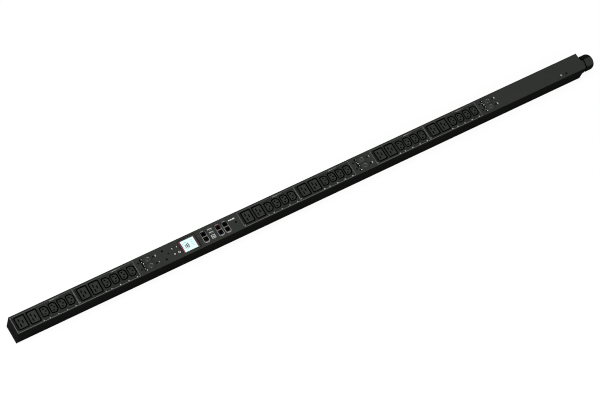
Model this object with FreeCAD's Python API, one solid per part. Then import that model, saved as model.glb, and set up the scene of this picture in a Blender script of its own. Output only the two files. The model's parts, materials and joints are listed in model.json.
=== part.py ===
import FreeCAD, Part
import math
import os

# Rack power strip, about 1.8 m long: a steel channel with six outlet modules, three breaker
# sections, a controller section and a cable gland.
# Frame: millimetres. X runs along the strip, the gland is at +X. +Z points out of the outlet
# face. The origin is the centre of the flat rear face, so the strip lies on its back.
# A place along the strip is measured from its plain end, at -X; pos() turns it into X.

os.makedirs("parts", exist_ok=True)
Vector = FreeCAD.Vector
SIDES = (-1, 1)
X_AXIS, Y_AXIS, Z_AXIS = (1, 0, 0), (0, 1, 0), (0, 0, 1)

# ---------------------------------------------------------------- driving dimensions
LENGTH = 1800.0                # body, without the gland
WIDTH = 52.0
DEPTH = 58.0                   # rear face to outlet face
WALL = 1.5                     # sheet steel
HALF_LENGTH, HALF_WIDTH = LENGTH / 2.0, WIDTH / 2.0
PLATE_Z = DEPTH - WALL         # underside of the front plates
WALL_TOP = PLATE_Z - 0.1       # front edge of the channel's side walls
GAP = 0.05                     # half the gap between neighbouring front pieces

# Front pieces in order: two modules, control panel, two modules, middle panel,
# two modules, supply panel
MODULE = 176.4                 # one outlet module, six outlets
CONTROL_LENGTH, MIDDLE_LENGTH = 310.8, 69.3
CONTROL_START = 2 * MODULE
CONTROL_END = CONTROL_START + CONTROL_LENGTH
MIDDLE_START = CONTROL_END + 2 * MODULE
MIDDLE_END = MIDDLE_START + MIDDLE_LENGTH
SUPPLY_START = MIDDLE_END + 2 * MODULE
MODULE_STARTS = [start + n * MODULE for start in (0.0, CONTROL_END, MIDDLE_END) for n in (0, 1)]
PANEL_STARTS = (CONTROL_START, MIDDLE_START, SUPPLY_START)
C19_AT = [23.4, 57.3]          # outlet centres from the module's start
C13_AT = [88.7, 113.07, 137.44, 161.8]

SCREW_HEAD_R, SCREW_NECK_R, SCREW_R = 2.85, 1.5, 1.25
SCREW_HOLE_R = 1.3             # in the piece the screw bites into
SCREW_CLEAR_R = 1.6            # in the piece it holds down
SCREW_SOCKET = 2.2             # across flats
SCREW_SUNK = 0.05              # head below the surface round it
SINK_R, SINK_DEPTH = SCREW_HEAD_R + 0.1, 1.3

CONTROL_BRACKETS = (434.0, 650.0)
SUPPLY_BRACKET = 1737.0
PANEL_SCREWS = [(CONTROL_BRACKETS[0], 12.6), (CONTROL_BRACKETS[0], -12.6),
                (CONTROL_BRACKETS[1], 0.0), (SUPPLY_BRACKET, -15.8)]
GROUND_AT = (1717.5, -15.5)
GROUND_HOLE_R = 2.15

END_SCREW_X, END_SCREW_Z = 887.0, 18.0
INSERT_X = 1555.75 / 2         # mounting inserts, 61.25 in apart
INSERT_BORE_R, INSERT_R = 2.5, 3.9
INSERT_FLANGE_R = 5.8

BAR_Z = (32.6, 33.8)           # underside and top of the busbars
WIRE_R, WIRE_Z = 2.1, 15.5     # supply wires and the height they run at
BREAKER_AT = 31.6              # breaker case's centre from the panel's start
BREAKER_ROWS = (-9.7, 9.7)     # two breakers side by side
BREAKER_SCREW = 21.8           # screw distance from the case's centre
TERMINAL_AT = 14.0             # terminal distance from the case's centre
GLAND_Z = 24.0
GLAND_HOLE_R = 16.2


# ---------------------------------------------------------------- helpers
def pos(x):
    """Position from the strip's plain end, in the frame's X."""
    return x - HALF_LENGTH


def box(x_lo, x_hi, y_lo, y_hi, z_lo, z_hi):
    return Part.makeBox(x_hi - x_lo, y_hi - y_lo, z_hi - z_lo, Vector(x_lo, y_lo, z_lo))


def block(x, y, half_x, half_y, z_lo, z_hi):
    """Box centred on x, y."""
    return box(x - half_x, x + half_x, y - half_y, y + half_y, z_lo, z_hi)


def side_box(x_lo, x_hi, side, y_one, y_two, z_lo, z_hi):
    """Box on the +Y or -Y side, between two distances from the centre plane."""
    y_lo, y_hi = sorted((side * y_one, side * y_two))
    return box(x_lo, x_hi, y_lo, y_hi, z_lo, z_hi)


def cyl(radius, height, base, axis=Z_AXIS):
    return Part.makeCylinder(radius, height, Vector(*base), Vector(*axis))


def cone(base_r, top_r, height, base, axis=Z_AXIS):
    return Part.makeCone(base_r, top_r, height, Vector(*base), Vector(*axis))


def fuse(shapes):
    return shapes[0].multiFuse(shapes[1:]).removeSplitter()


def polygon(points):
    return Part.Face(Part.makePolygon(points + points[:1]))


def prism(points, z_lo, z_hi):
    return polygon([Vector(x, y, z_lo) for x, y in points]).extrude(Vector(0, 0, z_hi - z_lo))


def hexagon(across_flats, turn=0.0):
    """Corners of a hexagon about the origin, the first one at the turn in degrees."""
    radius = across_flats / math.sqrt(3.0)
    angles = [math.radians(60 * i + turn) for i in range(6)]
    return [(radius * math.cos(angle), radius * math.sin(angle)) for angle in angles]


def hex_z(across_flats, z_lo, z_hi, x, y):
    return prism([(x + u, y + v) for u, v in hexagon(across_flats)], z_lo, z_hi)


def octagon(x, half_x, half_y, corner, z_lo, z_hi):
    """Rectangle about x, 0 with all four corners cut."""
    flat_x, flat_y = half_x - corner, half_y - corner
    return prism([(x - flat_x, -half_y), (x + flat_x, -half_y),
                  (x + half_x, -flat_y), (x + half_x, flat_y),
                  (x + flat_x, half_y), (x - flat_x, half_y),
                  (x - half_x, flat_y), (x - half_x, -flat_y)], z_lo, z_hi)


def vertical_edges(shape):
    return [e for e in shape.Edges if len(e.Vertexes) == 2
            and abs(e.Vertexes[0].X - e.Vertexes[1].X) < 1e-6
            and abs(e.Vertexes[0].Y - e.Vertexes[1].Y) < 1e-6]


def edges_at_z(shape, z):
    return [e for e in shape.Edges
            if abs(e.BoundBox.ZMin - z) < 1e-4 and abs(e.BoundBox.ZMax - z) < 1e-4]


def long_edges(shape, z, y):
    """Edges along X at height z, on both sides."""
    return [e for e in edges_at_z(shape, z) if e.BoundBox.XLength > 20
            and abs(abs(e.BoundBox.YMin) - y) < 1e-4]


def round_box(x, width, height, radius, z_lo, z_hi):
    """Box about x, 0 with its four upright edges rounded."""
    shape = block(x, 0.0, width / 2.0, height / 2.0, z_lo, z_hi)
    return shape.makeFillet(radius, vertical_edges(shape))


def soften(shape, edges, radius):
    """Round the given edges, or bevel them where the rounding has no solution."""
    if not edges:
        return shape
    # each try guards against an edge set the kernel can't round or bevel
    try:
        result = shape.makeFillet(radius, edges)
        if result.isValid() and result.Volume > 0:
            return result
    except Exception:
        pass
    try:
        result = shape.makeChamfer(radius * 0.6, edges)
        if result.isValid() and result.Volume > 0:
            return result
    except Exception:
        pass
    return shape


def export(name, shapes):
    """Write one shape or a list of shapes as parts/name.step."""
    if not isinstance(shapes, list):
        shapes = [shapes]
    solids = [solid for shape in shapes for solid in shape.Solids]
    result = solids[0] if len(solids) == 1 else Part.makeCompound(solids)
    result.exportStep("parts/%s.step" % name)


def countersink(x, y):
    """Cutter for a screw in a front plate."""
    sink_z = DEPTH - SINK_DEPTH
    return fuse([cone(SCREW_CLEAR_R, SINK_R, SINK_DEPTH, (x, y, sink_z)),
                 cyl(SINK_R, 1.0, (x, y, DEPTH)),
                 cyl(SCREW_CLEAR_R, 4.0, (x, y, sink_z - 3.0))])


def sunk_screw(x, y, length):
    """Countersunk screw with a hexagonal socket, in a front plate."""
    top = DEPTH - SCREW_SUNK
    head = SCREW_HEAD_R - SCREW_NECK_R
    step = 0.01                # short cone from the shank to the neck
    shank = cyl(SCREW_R, length - head, (x, y, top - length)).fuse(
        cone(SCREW_R, SCREW_NECK_R, step, (x, y, top - head - step)))
    screw = fuse([cone(SCREW_NECK_R, SCREW_HEAD_R, head, (x, y, top - head)), shank])
    return screw.cut(hex_z(SCREW_SOCKET, top - 0.95, top + 0.5, x, y))


# ---------------------------------------------------------------- channel and ends
INNER_Y = HALF_WIDTH - WALL            # inner face of the side walls
NOTCH_LENGTH, NOTCH_DEPTH = 4.4, 2.2   # in the side walls' front edge beside each outlet
BRACKET_HALF = 6.0                     # half the bracket's length in X
STRIP_Z = 54.8                         # underside of the bracket's cross strip
LEG_THICK, LEG_Z = 1.4, (42.0, 55.0)
TAB_END_X = 880.0                      # inner end of the end plates' tabs
TAB_Y, TAB_Z = (24.35, 22.85), (6.0, 43.5)
LINER_MARGIN, LINER_HALF_Y, LINER_HOLE_R = 4.5, 24.0, 6.5


def bracket(x):
    """Screw strip welded across the channel's mouth, with two legs on the side walls."""
    overlap = INNER_Y + 0.01
    x_lo, x_hi = x - BRACKET_HALF, x + BRACKET_HALF
    legs = [side_box(x_lo, x_hi, side, overlap, INNER_Y - LEG_THICK, *LEG_Z) for side in SIDES]
    return [box(x_lo, x_hi, -overlap, overlap, STRIP_Z, WALL_TOP)] + legs


def chassis_channel():
    end = HALF_LENGTH - WALL - 0.1
    channel = box(-end, end, -HALF_WIDTH, HALF_WIDTH, 0, WALL_TOP)
    channel = soften(channel, long_edges(channel, 0.0, HALF_WIDTH), 1.6)
    inner = box(-HALF_LENGTH - 1, HALF_LENGTH + 1, -INNER_Y, INNER_Y, WALL, WALL_TOP + 5)
    inner = soften(inner, long_edges(inner, WALL, INNER_Y), 0.5)
    channel = channel.cut(inner)
    bridges = []
    for at in CONTROL_BRACKETS + (SUPPLY_BRACKET,):
        bridges += bracket(pos(at))
    channel = channel.multiFuse(bridges).removeSplitter()

    tools = [cyl(SCREW_HOLE_R, 6, (pos(x), y, 52.5)) for x, y in PANEL_SCREWS]
    for end_side in SIDES:
        x = end_side * END_SCREW_X
        for side in SIDES:
            inward = (0, -side, 0)
            tools.append(cyl(SCREW_CLEAR_R, 6, (x, side * (HALF_WIDTH + 1), END_SCREW_Z), inward))
            tools.append(cone(SINK_R, SCREW_CLEAR_R, SINK_DEPTH,
                              (x, side * HALF_WIDTH, END_SCREW_Z), inward))
        tools.append(cyl(INSERT_R + 0.05, 4, (end_side * INSERT_X, 0, -1)))
    for start in MODULE_STARTS:
        for at in C19_AT + C13_AT:
            x = pos(start + at)
            for side in SIDES:
                tools.append(side_box(x - NOTCH_LENGTH / 2, x + NOTCH_LENGTH / 2, side,
                                      INNER_Y - 0.5, HALF_WIDTH + 1,
                                      WALL_TOP - NOTCH_DEPTH, WALL_TOP + 1))
    return channel.cut(tools)


def insulating_liner():
    end = HALF_LENGTH - LINER_MARGIN
    liner = box(-end, end, -LINER_HALF_Y, LINER_HALF_Y, WALL + 0.1, WALL + 0.6)
    return liner.cut([cyl(LINER_HOLE_R, 5, (side * INSERT_X, 0, 0)) for side in SIDES])


def end_plate(end_side, gland_hole_r=None):
    """End plate with two side tabs that the end screws go into; end_side is -1 or 1."""
    x_out, x_in = end_side * HALF_LENGTH, end_side * (HALF_LENGTH - WALL)
    plate = box(min(x_out, x_in), max(x_out, x_in), -HALF_WIDTH, HALF_WIDTH, 0, WALL_TOP)
    x_lo, x_hi = sorted((end_side * (HALF_LENGTH - WALL + 0.01), end_side * TAB_END_X))
    shape = fuse([plate] + [side_box(x_lo, x_hi, side, *TAB_Y, *TAB_Z) for side in SIDES])
    tools = [cyl(SCREW_HOLE_R, 8, (end_side * END_SCREW_X, side * 27, END_SCREW_Z),
                 (0, -side, 0)) for side in SIDES]
    if gland_hole_r:
        tools.append(cyl(gland_hole_r, 10, (x_out - 5, 0, GLAND_Z), X_AXIS))
    outer = [e for e in shape.Edges if abs(e.BoundBox.XMin - x_out) < 1e-4
             and abs(e.BoundBox.XMax - x_out) < 1e-4 and e.BoundBox.DiagonalLength > 20]
    return soften(shape, outer, 0.5).cut(tools)


def end_screw(end_side, side):
    inward = (0, -side, 0)
    x, y = end_side * END_SCREW_X, side * (HALF_WIDTH - SCREW_SUNK)
    screw = fuse([cone(SCREW_HEAD_R, SCREW_NECK_R, 1.25, (x, y, END_SCREW_Z), inward),
                  cyl(SCREW_R, 6.0, (x, y, END_SCREW_Z), inward)])
    corners = [Vector(x + u, y + side * 0.5, END_SCREW_Z + v) for u, v in hexagon(SCREW_SOCKET)]
    return screw.cut(polygon(corners).extrude(Vector(0, -side * 1.4, 0)))


def rear_insert(x):
    body = fuse([cyl(INSERT_R, 10.9, (x, 0, 0.02)),
                 cyl(INSERT_FLANGE_R, 1.5, (x, 0, WALL + 0.05))])
    return body.cut(cyl(INSERT_BORE_R, 12, (x, 0, -0.5)))


export("chassis_channel", chassis_channel())
export("insulating_liner", insulating_liner())
export("end_cap_plain", end_plate(-1))
export("end_plate_gland", end_plate(1, GLAND_HOLE_R))
export("end_screws", [end_screw(end_side, side) for end_side in SIDES for side in SIDES])
export("rear_inserts", [rear_insert(side * INSERT_X) for side in SIDES])

# ---------------------------------------------------------------- outlet modules
FIELD_Z = 57.2             # moulded field between the raised rims
RIM_Y = (22.3, 24.3)       # inner and outer side of the rim along the module
RIM = 1.3                  # rim's end width where two modules meet
RIM_PANEL = 2.0            # at a neighbouring panel
RIM_WIDE = 3.4             # inner side of the rim at the strip's plain end
RIM_WIDE_OFFSET = 1.4      # outer side of that rim
STEP_Z = 55.2              # underside of the step behind the front plate
CLIP_AT = (14.0, 74.6, 166.0)      # tabs inside the side walls, from the module's start
CLIP_HALF, CLIP_Y, CLIP_FROM_Z = 4.0, (24.3, 22.9), 44.0

C13_BOSS = (16.1, 23.8, 5.1)       # X, Y, corner chamfer
C13_WELL = (21.3, 29.0, 6.6)
C13_BOSS_ROUND, C13_WELL_ROUND = 2.6, 3.8      # radius of the two square corners
C19_BOSS = (23.3, 31.2, 1.6)       # X, Y, corner radius
C19_WELL = (28.9, 36.8, 3.2)
SLEEVE = 1.2               # wall of a well
WELL_FLOOR = 38.0          # floor of the ring round each boss
CARRIER_Z = 34.0           # underside of the socket carrier
CARRIER_MARGIN, CARRIER_HALF_Y = 1.5, 21.5
BOSS_TOP = 57.0
CHAMBER_TOP = 54.6         # the contact chambers start under the slot mouths

# slot centres from the outlet's centre, and half sizes of slot mouth, chamber and leaf
SLOTS = {"c13": {"line": (-2.0, -7.0), "neutral": (-2.0, 7.0), "earth": (2.5, 0.0)},
         "c19": {"line": (-4.5, -6.5), "neutral": (-4.5, 6.5), "earth": (3.8, 0.0)}}
SLOT_HALF = {"c13": (2.4, 1.3), "c19": (1.3, 4.3)}
CHAMBER_HALF = {"c13": (2.7, 2.1), "c19": (2.1, 4.7)}
LEAF_HALF = {"c13": 1.9, "c19": 3.7}
LEAF_OFFSET = (1.05, 1.5)  # near and far face of a leaf from the slot's centre
LEAF_TOP = 46.0
BAR_MARGIN = 6.0
BAR_HALF_Y = {"line": 2.2, "neutral": 2.2, "earth": 2.0}

# Kind and X of each outlet of the first module, where every module is built
OUTLETS = [("c19", pos(at)) for at in C19_AT] + [("c13", pos(at)) for at in C13_AT]


def rounded_d(x, width, height, corner, z_lo, z_hi, square_r, cut_r):
    """Rectangle with its +X corners cut at 45 degrees and every corner rounded."""
    half_x, half_y = width / 2.0, height / 2.0
    shape = prism([(x - half_x, -half_y), (x + half_x - corner, -half_y),
                   (x + half_x, -half_y + corner), (x + half_x, half_y - corner),
                   (x + half_x - corner, half_y), (x - half_x, half_y)], z_lo, z_hi)
    square = [e for e in vertical_edges(shape) if e.BoundBox.XMin < x - half_x + 0.01]
    shape = shape.makeFillet(square_r, square)
    beyond = [e for e in vertical_edges(shape) if e.BoundBox.XMin > x]
    return soften(shape, beyond, cut_r)


def well(kind, x, z_lo, z_hi, grow=0.0):
    """Outline of an outlet's well, widened all round by grow."""
    width, height, corner = C13_WELL if kind == "c13" else C19_WELL
    width, height = width + 2 * grow, height + 2 * grow
    if kind == "c13":
        return rounded_d(x, width, height, corner + grow * 0.586, z_lo, z_hi,
                         C13_WELL_ROUND + grow, 1.5 + grow)
    return round_box(x, width, height, corner + grow, z_lo, z_hi)


def boss(kind, x, z_lo, z_hi):
    if kind == "c13":
        shape = rounded_d(x, *C13_BOSS, z_lo, z_hi, C13_BOSS_ROUND, 1.0)
    else:
        shape = round_box(x, *C19_BOSS, z_lo, z_hi)
    return soften(shape, edges_at_z(shape, z_hi), 0.35)


def outlet_bezel(low_rim, high_rim, rim_offset=0.0):
    """Front moulding; the rims are the ones at its -X and +X ends."""
    x_lo, x_hi = pos(0.0) + GAP, pos(MODULE) - GAP
    rim_in, rim_out = RIM_Y
    top = box(x_lo, x_hi, -HALF_WIDTH, HALF_WIDTH, PLATE_Z, FIELD_Z)
    top = soften(top, long_edges(top, FIELD_Z, HALF_WIDTH), 0.4)
    step = box(x_lo + 1.8, x_hi - 0.3, -24.3, 24.3, STEP_Z, PLATE_Z + 0.01)
    ring = box(x_lo + rim_offset, x_hi, -rim_out, rim_out, FIELD_Z - 0.2, DEPTH)
    hole = box(x_lo + low_rim, x_hi - high_rim, -rim_in, rim_in, FIELD_Z - 1, DEPTH + 1)
    ring = ring.cut(soften(hole, vertical_edges(hole), 1.2))
    ring = soften(ring, edges_at_z(ring, DEPTH), 0.45)
    parts = [step, ring]
    parts += [well(kind, x, WELL_FLOOR + 0.1, STEP_Z + 0.1, SLEEVE) for kind, x in OUTLETS]
    for at in CLIP_AT:
        for side in SIDES:
            parts.append(side_box(pos(at) - CLIP_HALF, pos(at) + CLIP_HALF, side, *CLIP_Y,
                                  CLIP_FROM_Z, STEP_Z + 0.1))
    body = top.multiFuse(parts)
    body = body.cut([well(kind, x, WELL_FLOOR - 1, DEPTH + 1) for kind, x in OUTLETS])
    return body.removeSplitter()


def socket_carrier():
    """Floor of the wells with the bosses, slots and contact chambers."""
    floor = box(pos(0.0) + CARRIER_MARGIN, pos(MODULE) - CARRIER_MARGIN,
                -CARRIER_HALF_Y, CARRIER_HALF_Y, CARRIER_Z, WELL_FLOOR)
    body = floor.multiFuse([boss(kind, x, WELL_FLOOR - 0.5, BOSS_TOP) for kind, x in OUTLETS])
    tools = []
    for kind, x in OUTLETS:
        for slot_x, slot_y in SLOTS[kind].values():
            tools.append(block(x + slot_x, slot_y, *SLOT_HALF[kind],
                               CHAMBER_TOP - 1, BOSS_TOP + 1))
            tools.append(block(x + slot_x, slot_y, *CHAMBER_HALF[kind],
                               CARRIER_Z - 1, CHAMBER_TOP))
    return body.cut(tools).removeSplitter()


def busbar(pole):
    """One copper bar with a pair of spring leaves under each slot."""
    y, half_y = SLOTS["c13"][pole][1], BAR_HALF_Y[pole]
    parts = [box(pos(BAR_MARGIN), pos(MODULE - BAR_MARGIN), y - half_y, y + half_y, *BAR_Z)]
    leaf_z = (BAR_Z[0] + 0.4, LEAF_TOP)
    for kind, outlet_x in OUTLETS:
        slot_x, slot_y = SLOTS[kind][pole]
        x, half = outlet_x + slot_x, LEAF_HALF[kind]
        for side in SIDES:
            near, far = sorted(side * offset for offset in LEAF_OFFSET)
            if kind == "c13":
                leaf = box(x - half, x + half, slot_y + near, slot_y + far, *leaf_z)
            else:
                leaf = box(x + near, x + far, slot_y - half, slot_y + half, *leaf_z)
            parts.append(leaf)
    return fuse(parts)


def moved(shape, start):
    """Copy of a piece of the first module, moved to the module at start."""
    copy = shape.copy()
    copy.translate(Vector(start, 0, 0))
    return copy


low_bezel = outlet_bezel(RIM_PANEL, RIM)
high_bezel = outlet_bezel(RIM, RIM_PANEL)
first_bezel = outlet_bezel(RIM_WIDE, RIM, RIM_WIDE_OFFSET)
bezels = [first_bezel, high_bezel, low_bezel, high_bezel, low_bezel, high_bezel]
carrier = socket_carrier()
for number, (bezel, start) in enumerate(zip(bezels, MODULE_STARTS), 1):
    export("outlet_bezel_%d" % number, moved(bezel, start))
    export("socket_carrier_%d" % number, moved(carrier, start))
for pole in BAR_HALF_Y:
    bar = busbar(pole)
    export("busbars_%s" % pole, [moved(bar, start) for start in MODULE_STARTS])

# ---------------------------------------------------------------- front panels
WINDOW = (15.9, 46.4)      # ends of the window a pair of rockers sits in, from the panel's start
WINDOW_HALF_Y = 18.4
LIP_Y, LIP_Z = (24.3, 23.1), 47.0      # lips inside the side walls, and their lower edge
LIP_SHORT = 22.0           # the lips stop this far before the gland end
LIP_NOTCH_HALF = 7.5       # half the notch that clears a bracket
CUT_Z = (54.0, 60.0)       # reach of the cutters through a front plate
PORT_CLEARANCE = 0.2

DISPLAY_AT = 508.0
DISPLAY_GLASS = (53.0, 40.0)
DISPLAY_ACTIVE = (45.1, 33.8)
BUTTONS = {"button_up": (460.5, 7.3), "button_down": (474.0, 7.3),
           "button_cancel": (460.5, -9.2), "button_ok": (474.0, -9.2)}
BUTTON_R, BUTTON_HOLE_R = 5.0, 5.09
RESET_AT = (446.0, -0.3)
RESET_HOLE_R = 0.95
RJ45_AT = [555.0, 599.5, 620.3]
RJ45_HALF = (8.7, 18.4)
RJ45_CORNER = 4.2          # the stack's corners are cut
USB_A_AT = [(576.3, 12.2), (576.3, 2.6)]
USB_A_HALF = (6.55, 2.85)
USB_B_AT = (576.5, -9.6)
USB_B_HALF = (6.0, 5.45)


def front_panel(start, end, tools, notches=()):
    last = end == LENGTH
    x_lo = pos(start) + GAP
    x_hi = pos(end) if last else pos(end) - GAP
    plate = box(x_lo, x_hi, -HALF_WIDTH, HALF_WIDTH, PLATE_Z, DEPTH)
    plate = soften(plate, long_edges(plate, DEPTH, HALF_WIDTH), 0.8)
    lips = []
    for side in SIDES:
        lip = side_box(x_lo + 1.0, x_hi - (LIP_SHORT if last else 1.0), side, *LIP_Y,
                       LIP_Z, PLATE_Z + 0.01)
        if notches:
            lip = lip.cut([block(pos(at), 0, LIP_NOTCH_HALF, 30, 40, PLATE_Z)
                           for at in notches])
        lips.append(lip)
    return plate.multiFuse(lips).cut(tools).removeSplitter()


def breaker_cuts(start):
    """Rocker window and four countersinks of a breaker pair."""
    x, x_lo, x_hi = pos(start + BREAKER_AT), pos(start + WINDOW[0]), pos(start + WINDOW[1])
    window = round_box((x_lo + x_hi) / 2, x_hi - x_lo, 2 * WINDOW_HALF_Y, 0.3,
                       PLATE_Z - 2, DEPTH + 2)
    return [window] + [countersink(x + side * BREAKER_SCREW, y)
                       for y in BREAKER_ROWS for side in SIDES]


def plate_hole(radius, x, y):
    return cyl(radius, CUT_Z[1] - CUT_Z[0], (pos(x), y, CUT_Z[0]))


def port_cut(place, half_size):
    half_x, half_y = half_size
    return block(pos(place[0]), place[1], half_x + PORT_CLEARANCE, half_y + PORT_CLEARANCE,
                 *CUT_Z)


def control_panel():
    tools = breaker_cuts(CONTROL_START)
    tools += [countersink(pos(x), y) for x, y in PANEL_SCREWS if x < CONTROL_END]
    width, height = DISPLAY_GLASS
    tools.append(round_box(pos(DISPLAY_AT), width + 2 * PORT_CLEARANCE,
                           height + 2 * PORT_CLEARANCE, 1.7, PLATE_Z - 2, DEPTH + 2))
    tools += [plate_hole(BUTTON_HOLE_R, x, y) for x, y in BUTTONS.values()]
    tools.append(plate_hole(RESET_HOLE_R, *RESET_AT))
    tools += [octagon(pos(x), RJ45_HALF[0] + PORT_CLEARANCE, RJ45_HALF[1] + PORT_CLEARANCE,
                      RJ45_CORNER, *CUT_Z) for x in RJ45_AT]
    tools += [port_cut(place, USB_A_HALF) for place in USB_A_AT]
    tools.append(port_cut(USB_B_AT, USB_B_HALF))
    return front_panel(CONTROL_START, CONTROL_END, tools, CONTROL_BRACKETS)


def supply_panel():
    x, y = PANEL_SCREWS[-1]
    tools = breaker_cuts(SUPPLY_START)
    tools += [countersink(pos(x), y), plate_hole(GROUND_HOLE_R, *GROUND_AT)]
    return front_panel(SUPPLY_START, LENGTH, tools, (SUPPLY_BRACKET,))


def ground_point():
    """Pan-head screw, toothed washer and a nut under the cover."""
    x, y = pos(GROUND_AT[0]), GROUND_AT[1]
    head_top, slot_z = DEPTH + 2.75, (DEPTH + 1.6, DEPTH + 5)
    screw = fuse([cyl(3.4, 2.0, (x, y, DEPTH + 0.75)), cyl(1.95, 12.0, (x, y, DEPTH - 10.5))])
    screw = soften(screw, edges_at_z(screw, head_top), 0.7)
    screw = screw.cut([block(x, y, 2.0, 0.4, *slot_z), block(x, y, 0.4, 2.0, *slot_z)])
    washer = cyl(4.1, 0.65, (x, y, DEPTH + 0.05)).cut(cyl(2.05, 3, (x, y, DEPTH - 1)))
    gaps = []
    for i in range(12):
        gap = box(x + 3.6, x + 5.0, y - 0.3, y + 0.3, DEPTH - 0.5, DEPTH + 2)
        gap.rotate(Vector(x, y, 0), Vector(*Z_AXIS), 30 * i)
        gaps.append(gap)
    nut = hex_z(7.0, PLATE_Z - 3.3, PLATE_Z - 0.1, x, y).cut(cyl(2.0, 8, (x, y, 50)))
    return [screw, washer.cut(gaps), nut]


export("front_panel_control", control_panel())
export("front_panel_middle", front_panel(MIDDLE_START, MIDDLE_END, breaker_cuts(MIDDLE_START)))
export("front_panel_supply", supply_panel())
export("panel_screws", [sunk_screw(pos(x), y, 6.5) for x, y in PANEL_SCREWS])
export("ground_screw", ground_point())

# ---------------------------------------------------------------- breakers
CASE_HALF_X, CASE_FLANGE_HALF_X, CASE_HALF_Y = 22.0, 25.4, 9.55
CASE_Z, FLANGE_Z = 20.0, 48.0      # undersides of the case and of its flange
PIVOT_AT = 32.4            # rocker pivot from the panel's start
PIVOT_Z = 53.4
PIN_R, PIN_HALF = 1.0, 9.4
ROCKER_R = 14.22           # the rocker's ends lie on this circle about the pivot
ROCKER_RIDGE = 4.3         # ridge above the pivot, with the rocker level
ROCKER_ROOF = 1.0 / 13.9   # slope of its two top faces
ROCKER_SKIRT = 2.4         # lower edge below the pivot
ROCKER_HALF_Y = 8.5
ROCKER_BLANK = 20.0        # half length before the ends are trimmed to the circle
ROCKER_TILT = 7.0          # degrees; the -X end is pressed in
HUB_R = 3.2


def breaker_case(x, pivot_x, y):
    side = 1 if y > 0 else -1
    body = fuse([block(x, y, CASE_HALF_X, CASE_HALF_Y, CASE_Z, FLANGE_Z + 0.5),
                 block(x, y, CASE_FLANGE_HALF_X, CASE_HALF_Y, FLANGE_Z, WALL_TOP)])
    body = soften(body, [e for e in vertical_edges(body)
                         if abs(abs(e.BoundBox.XMin - x) - CASE_FLANGE_HALF_X) < 1e-3], 1.0)
    # the side walls of the pair stand up between the two rockers
    body = fuse([body, side_box(pivot_x - 13.8, pivot_x + 13.9, side, 0.15, 1.05, 50.0, 57.6)])
    # rocker well and pin bore
    tools = [box(pivot_x - 17.1, pivot_x + 15.6, y - 8.62, y + 8.62, 40.0, WALL_TOP + 2),
             cyl(PIN_R + 0.03, 19.2, (pivot_x, y - 9.6, PIVOT_Z), Y_AXIS)]
    # screw holes, and terminal pockets in the underside
    for end in SIDES:
        tools.append(cyl(SCREW_HOLE_R, 9, (x + end * BREAKER_SCREW, y, 49.5)))
        tools.append(block(x + end * TERMINAL_AT, y, 3.7, 5.2, CASE_Z - 1, 24.0))
    # three slots across the underside
    for k in range(3):
        tools.append(block(x + (k - 1) * 8, y, 2.0, 6.5, CASE_Z - 1, 21.5))
    return body.cut(tools)


def breaker_terminal(x, y):
    return block(x, y, 3.5, 5.0, 12.0, 23.8).cut(cyl(2.3, 12, (x - 6, y, WIRE_Z), X_AXIS))


def breaker_rocker(x, y):
    """Built level about the pivot, then tilted."""
    roof_drop = ROCKER_BLANK * ROCKER_ROOF
    ridge_z, skirt_z = PIVOT_Z + ROCKER_RIDGE, PIVOT_Z - ROCKER_SKIRT
    outline = [(-ROCKER_BLANK, ridge_z - roof_drop), (0, ridge_z),
               (ROCKER_BLANK, ridge_z - roof_drop), (ROCKER_BLANK, skirt_z),
               (-ROCKER_BLANK, skirt_z)]
    shell = polygon([Vector(x + dx, y - ROCKER_HALF_Y, z) for dx, z in outline])
    shell = shell.extrude(Vector(0, 2 * ROCKER_HALF_Y, 0))
    shell = shell.common(cyl(ROCKER_R, 30, (x, y - 15, PIVOT_Z), Y_AXIS))
    shell = shell.cut([block(x + end * 8.2, y, 4.0, 7.0, PIVOT_Z - 5, PIVOT_Z + 1.2)
                       for end in SIDES])
    shell = soften(shell, [e for e in shell.Edges if e.BoundBox.ZMin > PIVOT_Z + 2.7], 0.35)
    hub = cyl(HUB_R, 2 * ROCKER_HALF_Y, (x, y - ROCKER_HALF_Y, PIVOT_Z), Y_AXIS)
    arm = block(x, y, 1.5, 3, PIVOT_Z - 8.0, PIVOT_Z)
    rocker = fuse([shell, hub, arm])
    rocker = rocker.cut(cyl(PIN_R + 0.04, 30, (x, y - 15, PIVOT_Z), Y_AXIS))
    rocker.rotate(Vector(x, y, PIVOT_Z), Vector(*Y_AXIS), -ROCKER_TILT)
    return rocker


cases, pins, terminals, case_screws = [], [], [], []
for start in PANEL_STARTS:
    case_x, pivot_x = pos(start + BREAKER_AT), pos(start + PIVOT_AT)
    for y in BREAKER_ROWS:
        cases.append(breaker_case(case_x, pivot_x, y))
        pins.append(cyl(PIN_R, 2 * PIN_HALF, (pivot_x, y - PIN_HALF, PIVOT_Z), Y_AXIS))
        for side in SIDES:
            terminals.append(breaker_terminal(case_x + side * TERMINAL_AT, y))
            case_screws.append(sunk_screw(case_x + side * BREAKER_SCREW, y, 7.0))
        export("breaker_rocker_%d" % len(cases), breaker_rocker(pivot_x, y))
export("breaker_cases", cases)
export("breaker_pivot_pins", pins)
export("breaker_terminals", terminals)
export("breaker_screws", case_screws)

# ---------------------------------------------------------------- controller section
BOARD_Z, BOARD_TOP = 36.0, 37.6
BOARD_SPAN, BOARD_HALF_Y = (441.5, 643.0), 21.0
POST_AT = [(x, y) for x in (444.5, 537.9, 640.0) for y in (-18.5, 18.5)]
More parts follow.
